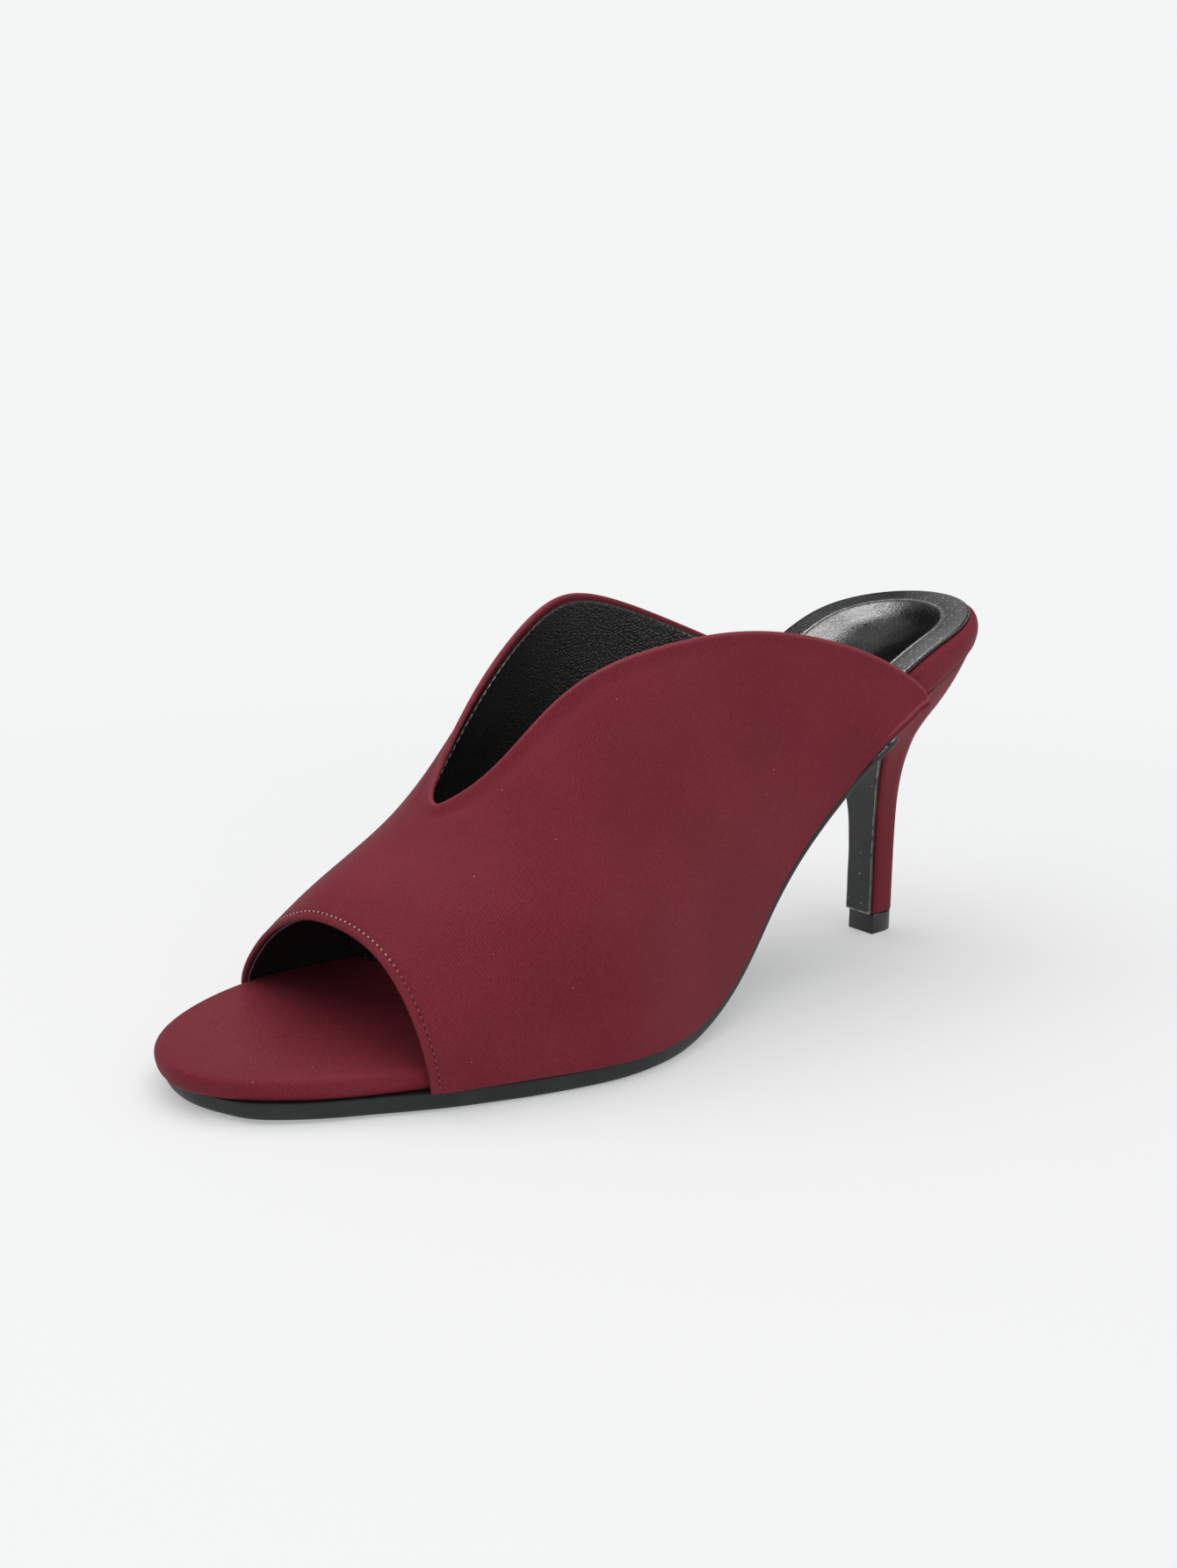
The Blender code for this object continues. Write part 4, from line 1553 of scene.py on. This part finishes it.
    def sole_wear_and_glint(self, station: Array, across: Array, row: Array) -> Array:
        """Where the outsole's edges are worn pale at its end, and where a faint glint is painted along its
        top edge by the toe on the outer side.

        Args:
            station: Places along the spine.
            across: Offsets to the inner side.
            row: Rows of the outsole's profile.

        Returns:
            The rim value at each point, from 0 to 1.
        """
        end = self.end_wear * ramp(station, self.wear_from, self.wear_run)
        toe = self.toe_glint(station) * (across < self.last.middle(station))
        return np.where(np.isin(row, self.worn_rows), end, 0.0) + np.where(row == self.toe_glint_row, toe, 0.0)

    def build(self) -> None:
        """Make the three layers."""
        dish = self.by_station(self.dish_depth)
        self.footbed = Slab(
            self.last, self.footbed_profile(), self.footbed_low, self.footbed_top, 0.0, self.last.length,
            self.footbed_ends, dish=dish,
        ).build()
        self.sock = Slab(
            self.last, self.sock_profile(), self.sock_low, self.sock_top, self.sock_front, self.last.length,
            self.sock_ends, self.sock_margin, dish, tongue=self.sock_tongue, mark=self.sock_glints,
        ).build()
        sole_end = self.breast_station - self.last.gap - self.breast_welt
        self.outsole = Slab(
            self.last, self.outsole_profile(), self.sole_low, nothing, 0.0, sole_end, self.outsole_ends,
            self.sole_trim, mark=self.sole_wear_and_glint,
        ).build()

    def footbed_profile(self) -> tuple[Row, ...]:
        """The footbed's rows, from the middle underneath round the rim to the dished middle on top."""
        return (
            Row(0.0, 1.0),
            Row(7.0, 0.35),
            Row(1.4, under=1.0),
            Row(0.3, under=1.0),
            Row(0.05, level=0.05, under=0.85),
            Row(0.0, level=0.2, under=0.36),
            Row(0.0, level=0.5, under=0.06),
            Row(0.0, level=0.66),
            Row(0.0, level=0.8, over=0.08),
            Row(0.0, level=0.91, over=0.27),
            Row(0.0, level=0.98, over=0.58),
            Row(0.0, level=1.0, over=1.0),
            Row(4.5, level=1.0, dish=0.04),
            Row(self.border, level=1.0, dish=self.border_dish),
            Row(self.border, 0.4, 1.0, 0.8),
            Row(self.border, 0.7, 1.0, 0.95),
            Row(0.0, 1.0, 1.0, 1.0),
        )

    def sock_profile(self) -> tuple[Row, ...]:
        """The sock's rows: underside, cut edge, flat border, embossed line and dished middle."""
        border, tilt = self.border, self.border_dish
        return (
            Row(0.0, 1.0, 0.0, 1.0),
            Row(border, 0.4, 0.0, 0.8),
            Row(border, 0.0, 0.0, tilt),
            Row(0.1, level=0.0),
            Row(0.0, level=0.08),
            Row(0.0, level=0.7),
            Row(0.12, level=0.93),
            Row(0.4, level=1.0),
            Row(1.4, level=1.0, dish=0.2 * tilt),
            Row(border - 2.0, level=1.0, dish=0.7 * tilt),
            Row(border - 0.55, level=1.0, dish=0.9 * tilt),
            Row(border - 0.25, level=0.96, dish=tilt),
            Row(border, level=0.9, dish=tilt),
            Row(border + 0.25, level=0.96, dish=tilt),
            Row(border + 0.6, level=1.0, dish=tilt),
            Row(border + 1.2, level=1.0, dish=tilt + 0.05),
            Row(border + 1.0, 0.16, 1.0, 0.38),
            Row(border + 1.0, 0.36, 1.0, 0.74),
            Row(border + 1.0, 0.6, 1.0, 0.94),
            Row(border + 1.0, 0.82, 1.0, 1.0),
            Row(0.0, 1.0, 1.0, 1.0),
        )

    def outsole_profile(self) -> tuple[Row, ...]:
        """The outsole's rows: flat tread, rounded edge and flat top."""
        return (
            Row(0.0, 1.0),
            Row(7.0, 0.4),
            Row(3.0),
            Row(1.7),
            Row(0.9, level=0.05),
            Row(0.4, level=0.16),
            Row(0.1, level=0.34),
            Row(0.0, level=0.56),
            Row(0.0, level=0.92),
            Row(0.08, level=0.98),
            Row(0.3, level=1.0),
            Row(6.0, 0.4, 1.0),
            Row(0.0, 1.0, 1.0),
        )

    def dress(self, satin: Material) -> list[Piece]:
        """Give the layers their finishes and let them ride on the shoe.

        Args:
            satin: The satin's material.

        Returns:
            The pieces.
        """
        sock = LeatherFinish(
            "black_sock", rgb(0.007, 0.0075, 0.007), rgb(0.014, 0.0145, 0.014), roughness=0.17,
            grain_scale=1800.0, grain_depth=0.00008, strength=0.3,
        ).material()
        sole = SheetFinish(
            "black_outsole", rgb(0.0135, 0.0175, 0.0165), rgb(0.022, 0.027, 0.026), specular=0.3
        ).material()
        made = [
            fit_to_part(new_piece("footbed_wrap", self.footbed, satin), "footbed"),
            fit_to_part(new_piece("heel_sock", self.sock, sock), "sock"),
            fit_to_part(new_piece("outsole_sheet", self.outsole, sole), "outsole"),
        ]
        for piece in made:
            soften(piece)
        return made


@dataclass
class Heel:
    """The covered heel with its breast sheet and top piece."""

    last: Last
    breast_station: float = 198.0
    tip_depth: float = 9.0
    tip_width: float = 8.8
    tip_height: float = 5.4
    tip_squareness: float = 0.55
    seat_stations: Numbers = (198.0, 205.0, 212.0, 222.0, 231.0, 246.0)
    seat_insets: Numbers = (-0.3, 0.2, 1.1, 2.4, 3.2, 3.2)
    seat_levels: Numbers = (-0.25, -0.28, -0.3, -0.3, -0.3, -0.3)
    seat_heart: float = 0.45
    seat_rings: Numbers = (0.02, 0.06, 0.3, 0.6, 0.85)
    # Painted dark shade at the top of the stem, under the seat, fading over these rows.
    shade_rows: Numbers = (0.0, 2.0, 4.0, 6.0)
    painted_shades: Numbers = (0.8, 0.6, 0.25, 0.0)
    flare_front: float = 5.0
    flare_corner: float = 0.4
    flare_rises: Numbers = (0.0, 0.4, 0.5, 0.6, 0.7, 0.78, 0.83, 0.88, 0.935, 1.0)
    flare_powers: Numbers = (4.5, 4.45, 4.1, 3.75, 3.4, 2.8, 2.35, 2.03, 1.75, 1.5)
    foot_rings: Numbers = (0.0, 0.85, 0.97)
    front_steps: int = 14
    round_steps: int = 60
    stem_steps: int = 68
    crowding: float = 1.5
    weave_step: Span = (0.8, 1.1)
    sheet_thickness: float = 0.9
    sheet_share: float = 0.94
    sheet_top: float = 0.975
    sheet_rows: int = 72
    sheet_columns: int = 16
    sheet_wavers: tuple[tuple[float, float, float], ...] = ((0.012, 13.0, 0.6), (0.008, 34.0, 2.0))
    sheet_ease: float = 0.22
    sheet_ease_angle: float = 55.0
    past_corner: float = 1e-6
    probe_rise: float = 0.002
    block_points: int = 25
    block_share: float = 0.97
    block_bevel: float = 0.35
    block_bevel_angle: float = 50.0
    block_sharp_angle: float = 35.0

    @property
    def around(self) -> int:
        """How many steps go once round the heel."""
        return self.round_steps + self.front_steps

    @property
    def tip_heart(self) -> Array:
        """The middle of the stem's foot."""
        return np.array([self.last.tip_front + self.tip_depth / 2, self.last.tip_across])

    def seat_point(self, share: Array) -> tuple[Array, Array]:
        """Round the seat's rim.

        Args:
            share: From the outer breast corner (0) by the back to the inner one (1).

        Returns:
            Stations and offsets across.
        """
        last = self.last
        length = last.length - self.seat_insets[-1] - self.breast_station
        station = self.breast_station + length * np.sin(math.pi * share)
        inset = np.interp(station, self.seat_stations, self.seat_insets)
        outer = np.minimum(last.edge(station, Side.OUTER) + inset, 0.0)
        inner = np.maximum(last.edge(station, Side.INNER) - inset, 0.0)
        return station, np.where(share < 0.5, outer, inner)

    def seat_level(self, station: Array) -> Array:
        """The seat's height over the spine."""
        return np.interp(station, self.seat_stations, self.seat_levels)

    def tip_point(self, share: Array) -> tuple[Array, Array]:
        """Round the stem's foot, level with seat_point: flat in front and rounded behind.

        Args:
            share: From the outer front corner (0) by the back to the inner one (1).

        Returns:
            x and y in millimetres.
        """
        sweep = np.cos(math.pi * share)
        across = -np.sign(sweep) * np.abs(sweep) ** self.tip_squareness * self.tip_width / 2
        depth = self.tip_depth * np.sin(math.pi * share) ** self.tip_squareness
        return self.last.tip_front + depth, self.last.tip_across + across

    def side_point(self, index: Array, rise: Array) -> Array:
        """The heel's side.

        Args:
            index: Counts round the back and then across the front.
            rise: From the top piece (0) to the seat (1).

        Returns:
            Rows in millimetres.
        """
        index, rise = np.broadcast_arrays(np.asarray(index, float), np.asarray(rise, float))
        share = np.clip(index / self.round_steps, 0.0, 1.0)
        station, across = self.seat_point(share)
        x, y = self.tip_point(share)
        behind = np.interp(rise, self.flare_rises, self.flare_powers)
        corner = np.minimum(1.0, np.sin(math.pi * share) / self.flare_corner)
        power = self.flare_front + (behind - self.flare_front) * corner
        front = index > self.round_steps
        along = (index - self.round_steps) / self.front_steps
        corners = [float(self.seat_point(np.array(place))[1]) for place in (1.0, 0.0)]
        station = np.where(front, self.breast_station, station)
        across = np.where(front, corners[0] + (corners[1] - corners[0]) * along, across)
        x = np.where(front, self.last.tip_front, x)
        y = np.where(front, self.last.tip_across + self.tip_width * (0.5 - along), y)
        power = np.where(front, self.flare_front, power)
        rim = self.last.at(station, across, self.seat_level(station))
        flare = rise**power
        base = self.tip_height + self.last.gap
        x = x + (rim[..., 0] - x) * flare
        y = y + (rim[..., 1] - y) * flare
        return np.stack([x, y, base + (rim[..., 2] - base) * rise], axis=-1)

    def cover_place(self, column: Array, row: Array) -> Array:
        """Where the cover's points lie: its closed foot, the stem and the rings on the seat.

        Args:
            column: Steps round the heel.
            row: Rows from the foot's middle up to the seat's.

        Returns:
            Rows of x, y, z in metres.
        """
        index = column % self.around
        feet = len(self.foot_rings)
        stem = ramp(row, feet, self.stem_steps)
        side = self.side_point(index, 1 - (1 - stem) ** self.crowding)
        pull = np.interp(row, range(feet + 1), [*self.foot_rings, 1.0])
        foot = side.copy()
        foot[:, :2] = self.tip_heart + (side[:, :2] - self.tip_heart) * pull[:, None]
        spot = np.where((row < feet)[:, None], foot, side)
        ring = np.clip(row - feet - self.stem_steps, 0, len(self.seat_rings))
        share = np.array([0.0, *self.seat_rings])[ring]
        station = self.seat_point(np.clip(index / self.round_steps, 0.0, 1.0))[0]
        station = np.where(index > self.round_steps, self.breast_station, station)
        across = self.side_point(index, 1.0)[:, 1]
        heart = self.breast_station + self.seat_heart * (self.last.length - self.breast_station)
        inward = station + (heart - station) * share
        seat = self.last.at(inward, across * (1 - share), self.seat_level(inward))
        return self.last.placed(np.where((ring > 0)[:, None], seat, spot))

    def cover_weave(self, column: Array, row: Array) -> Array:
        """The satin's coordinates in metres at the same points."""
        up, along = self.weave_step
        return np.stack([row * up, (column % self.around) * along], axis=-1) * MM

    def cover_shade(self, _: Array, row: Array) -> Array:
        """The rim values at the same points: painted dark shade along the stem's top, under the seat."""
        below = len(self.foot_rings) + self.stem_steps - row
        return -np.interp(below, self.shade_rows, self.painted_shades)

    def sheet_place(self, column: Array, row: Array) -> Array:
        """Where the breast sheet's points lie, before it gets its thickness.

        Args:
            column: Steps across the breast.
            row: Steps up.

        Returns:
            Rows of x, y, z in metres.
        """
        rise = self.sheet_top * (1 - (1 - row / self.sheet_rows) ** self.crowding)
        waver = sum(size * np.sin(pace * rise + start) for size, pace, start in self.sheet_wavers)
        along = 0.5 + (column / self.sheet_columns - 0.5) * (self.sheet_share + waver)
        index = self.round_steps + self.past_corner + self.front_steps * along
        spot = self.side_point(index, rise)
        upward = self.side_point(index, rise + self.probe_rise) - spot
        outward = unit(np.stack([-upward[:, 2], np.zeros(len(upward)), upward[:, 0]], axis=-1))
        return self.last.placed(spot + outward * self.last.gap)

    def sheet_rim(self, column: Array, row: Array) -> Array:
        """The rim values at the same points: 1 on the sheet's rim and 0 within."""
        sides = np.isin(column, (0, self.sheet_columns))
        return np.where(sides | np.isin(row, (0, self.sheet_rows)), 1.0, 0.0)

    def build(self) -> None:
        """Make the cover, the breast sheet and the top piece."""
        rows = len(self.foot_rings) + self.stem_steps + len(self.seat_rings)
        self.cover = rolled_grid(self.around, rows, self.cover_place, self.cover_weave, self.cover_shade)
        bmesh.ops.holes_fill(self.cover, edges=[edge for edge in self.cover.edges if edge.is_boundary])
        bmesh.ops.recalc_face_normals(self.cover, faces=self.cover.faces)
        self.sheet = rolled_grid(self.sheet_columns, self.sheet_rows, self.sheet_place, mark=self.sheet_rim)
        self.top_piece = self.build_top_piece()

    def build_top_piece(self) -> Mesh:
        """Make the wearing block: flat faces and eased edges.

        Returns:
            Its mesh data.
        """
        outline = np.stack(self.tip_point(np.linspace(0.0, 1.0, self.block_points)), axis=-1)
        outline = self.tip_heart + (outline - self.tip_heart) * self.block_share
        floor = self.last.placed(np.pad(outline, ((0, 0), (0, 1))))
        block = bmesh.new()
        foot = block.faces.new([block.verts.new(Vector(spot)) for spot in floor])
        grown = bmesh.ops.extrude_face_region(block, geom=[foot])
        lifted = [item for item in grown["geom"] if isinstance(item, bmesh.types.BMVert)]
        bmesh.ops.translate(block, verts=lifted, vec=Vector((0.0, 0.0, self.tip_height * MM)))
        bmesh.ops.recalc_face_normals(block, faces=block.faces)
        steep = math.radians(self.block_bevel_angle)
        rims = [edge for edge in block.edges if edge.calc_face_angle(0.0) > steep]
        bmesh.ops.bevel(
            block, geom=rims, offset=self.block_bevel * MM, affect="EDGES", segments=3, profile=0.5,
            material=-1,
        )
        return block

    def dress(self, satin: Material) -> list[Piece]:
        """Give the pieces their finishes and let them ride on the shoe.

        Args:
            satin: The satin's material.

        Returns:
            The pieces.
        """
        black = SheetFinish("breast_black", rgb(0.026, 0.029, 0.027), roughness=0.34, specked=0.55).material()
        tip = LeatherFinish(
            "top_piece_black", rgb(0.010, 0.011, 0.010), roughness=0.26, grain=Grain.SMOOTH, strength=0.1
        ).material()
        cover = fit_to_part(new_piece("heel_cover", self.cover, satin), "heel")
        sheet = fit_to_part(new_piece("heel_breast", self.sheet, black), "breast_sheet")
        self.thicken(sheet)
        block = new_piece("heel_top_piece", self.top_piece, tip)
        block.data.set_sharp_from_angle(angle=math.radians(self.block_sharp_angle))
        return [cover, sheet, fit_to_part(block, "top_piece")]

    def thicken(self, sheet: Piece) -> None:
        """Give the breast sheet its thickness, a dark cut edge and eased corners.

        Args:
            sheet: The sheet's piece.
        """
        cut = SheetFinish("breast_cut_edge", rgb(0.012, 0.013, 0.012), scuff=rgb(0.04, 0.042, 0.04))
        sheet.data.materials.append(cut.material())
        wall = sheet.modifiers.new("sheet", "SOLIDIFY")
        wall.thickness = self.sheet_thickness * MM
        wall.offset = 1.0
        wall.use_even_offset = True
        wall.material_offset_rim = 1
        eased = sheet.modifiers.new("eased", "BEVEL")
        eased.limit_method = "ANGLE"
        eased.angle_limit = math.radians(self.sheet_ease_angle)
        eased.width = self.sheet_ease * MM
        eased.segments = 2
        eased.use_clamp_overlap = False


@dataclass(frozen=True)
class Softbox:
    """A square area light that looks at the shoe: place and side in metres, power in watts."""

    name: str
    place: tuple[float, float, float]
    size: float
    power: float
    glossy: bool = True
    diffuse: bool = True
    looks_at: tuple[float, float, float] = (0.0, 0.0, 0.04)

    def hang(self) -> None:
        """Put the lamp into the scene."""
        light = bpy.data.lights.new(self.name, "AREA")
        light.shape = "SQUARE"
        light.size = self.size
        light.energy = self.power
        lamp = bpy.data.objects.new(self.name, light)
        lamp.location = self.place
        view = Vector(self.looks_at) - Vector(self.place)
        lamp.rotation_euler = view.to_track_quat("-Z", "Y").to_euler()
        lamp.visible_glossy = self.glossy
        lamp.visible_diffuse = self.diffuse
        bpy.context.scene.collection.objects.link(lamp)


@dataclass
class Studio:
    """A pale floor and wall, soft lights and the camera."""

    last: Last
    floor_radii: Numbers = (0.0, 0.3, 0.7, 1.1)
    wall_height: float = 1.5
    wall_radius: float = 0.7
    wall_steps: int = 12
    mirrored_steps: int = 10
    spin_steps: int = 72
    paper_colour: Colour = rgb(0.8, 0.8032, 0.8064)
    paper_roughness: float = 0.7
    paper_specular: float = 0.25
    glow: Colour = rgb(0.905, 0.91224, 0.91586)
    glow_span: Span = (0.15, 0.46)
    glow_least: float = 0.38
    room: Colour = rgb(0.98, 0.99, 1.0)
    room_strength: float = 0.46
    softboxes: tuple[Softbox, ...] = (
        Softbox("overhead", (-0.15, 0.1, 1.3), 1.8, 18.4),
        Softbox("near_fill", (-0.35, -1.3, 0.45), 1.0, 2.4, glossy=False),
        Softbox("sock_strip", (0.395, 0.53, 1.23), 0.4, 3.3, diffuse=False),
        Softbox("border_strip", (0.7, 0.87, 0.91), 0.26, 0.12, diffuse=False),
        Softbox("lining_strip", (0.85, -0.85, 0.75), 0.6, 6.0, diffuse=False),
    )
    camera_target: tuple[float, float, float] = (111.57, 11.75, 49.36)
    azimuth: float = -38.34
    elevation: float = 13.38
    roll: float = 0.30
    distance: float = 403.4
    focal_pixels: float = 1952.7
    long_side: float = 1785.0
    sensor: float = 36.0
    clip_start: float = 0.01

    def build(self) -> None:
        """Make the floor and wall, the lights and the camera."""
        self.build_stage()
        self.build_lights()
        self.build_camera()

    def build_stage(self) -> None:
        """Make a round floor and, round it, a wall that bends up from it and lights nothing itself."""
        edge, radius = self.floor_radii[-1], self.wall_radius
        bend = [math.pi / 2 * i / self.wall_steps for i in range(self.wall_steps + 1)]
        wall = [(edge + radius * math.sin(a), radius * (1 - math.cos(a))) for a in bend]
        wall.append((edge + radius, self.wall_height))
        paper = self.paper()
        self.spun("studio_floor", [(reach, 0.0) for reach in self.floor_radii], paper)
        foot = self.spun("studio_wall_foot", wall[: self.mirrored_steps], paper)
        backdrop = self.spun("studio_wall", wall[self.mirrored_steps - 1 :], paper)
        foot.visible_diffuse = False
        backdrop.visible_diffuse = False
        backdrop.visible_glossy = False

    def spun(self, name: str, profile: list[Span], material: Material) -> Piece:
        """Turn a profile into a piece of the stage.

        Args:
            name: The piece's name.
            profile: Pairs of radius and height in metres.
            material: Its finish.

        Returns:
            The new object.
        """
        mesh_data = bmesh.new()
        spots = [mesh_data.verts.new((x, 0.0, z)) for x, z in profile]
        line = [mesh_data.edges.new(pair) for pair in zip(spots, spots[1:])]
        bmesh.ops.spin(
            mesh_data, geom=spots + line, cent=(0, 0, 0), axis=(0, 0, 1), angle=2 * math.pi,
            steps=self.spin_steps, use_merge=True,
        )
        bmesh.ops.remove_doubles(mesh_data, verts=mesh_data.verts, dist=WELD)
        bmesh.ops.recalc_face_normals(mesh_data, faces=mesh_data.faces)
        if sum(face.normal.z for face in mesh_data.faces) < 0:
            bmesh.ops.reverse_faces(mesh_data, faces=mesh_data.faces)
        piece = new_piece(name, mesh_data, material)
        return piece

    def paper(self) -> Material:
        """Pale paper, which glows evenly away from the shoe.

        Returns:
            Its Blender material.
        """
        recipe = Recipe("pale_paper")
        recipe.material.cycles.emission_sampling = "NONE"
        recipe.set(Base_Color=self.paper_colour)
        recipe.set(Roughness=self.paper_roughness, Specular_IOR_Level=self.paper_specular)
        length = recipe.node("ShaderNodeVectorMath", operation="LENGTH")
        recipe.feed(length.inputs[0], recipe.place())
        far = recipe.ranged(length.outputs["Value"], *self.glow_span, self.glow_least)
        glow = recipe.fed(recipe.node("ShaderNodeEmission"), Color=self.glow)
        mix = recipe.node("ShaderNodeMixShader")
        for i, source in enumerate((far, recipe.shader.outputs[0], glow.outputs[0])):
            recipe.feed(mix.inputs[i], source)
        recipe.fed(recipe.tree.nodes["Material Output"], Surface=mix.outputs[0])
        return recipe.material

    def build_lights(self) -> None:
        """Light a dim pale room, hang the softboxes and set plain tones."""
        scene = bpy.context.scene
        scene.world = bpy.data.worlds.new("pale_room")
        scene.world.use_nodes = True
        back = scene.world.node_tree.nodes["Background"]
        back.inputs["Color"].default_value = self.room
        back.inputs["Strength"].default_value = self.room_strength
        scene.world.cycles_visibility.glossy = False
        for softbox in self.softboxes:
            softbox.hang()
        scene.view_settings.view_transform = "Standard"

    def build_camera(self) -> None:
        """Put the camera at the photograph's angle."""
        side, up_angle, roll = (math.radians(v) for v in (self.azimuth, self.elevation, self.roll))
        flat = math.cos(up_angle)
        back = Vector((math.sin(side) * flat, -math.cos(side) * flat, math.sin(up_angle)))
        right = Vector((math.cos(side), math.sin(side), 0.0))
        up = back.cross(right)
        turned_right = right * math.cos(roll) + up * math.sin(roll)
        turned_up = up * math.cos(roll) - right * math.sin(roll)
        lens = bpy.data.cameras.new("camera")
        lens.sensor_width = self.sensor
        lens.lens = self.focal_pixels / self.long_side * self.sensor
        lens.clip_start = self.clip_start
        camera = bpy.data.objects.new("camera", lens)
        turn = Matrix((turned_right, turned_up, back)).transposed()
        place = Vector(self.last.placed(np.array(self.camera_target))) + back * self.distance * MM
        camera.matrix_world = Matrix.Translation(place) @ turn.to_4x4()
        bpy.context.scene.collection.objects.link(camera)
        bpy.context.scene.camera = camera


def main() -> None:
    """Build and dress the shoe, piece by piece, in its studio."""
    logging.basicConfig(level=logging.INFO, format="%(message)s")
    last = Last()
    Studio(last).build()
    satin = SatinFinish().material()
    for assembly in (Upper(last), Bottom(last), Heel(last)):
        assembly.build()
        for piece in assembly.dress(satin):
            LOG.info("%s: %d faces", piece.name, len(piece.data.polygons))


if __name__ == "__main__":
    main()
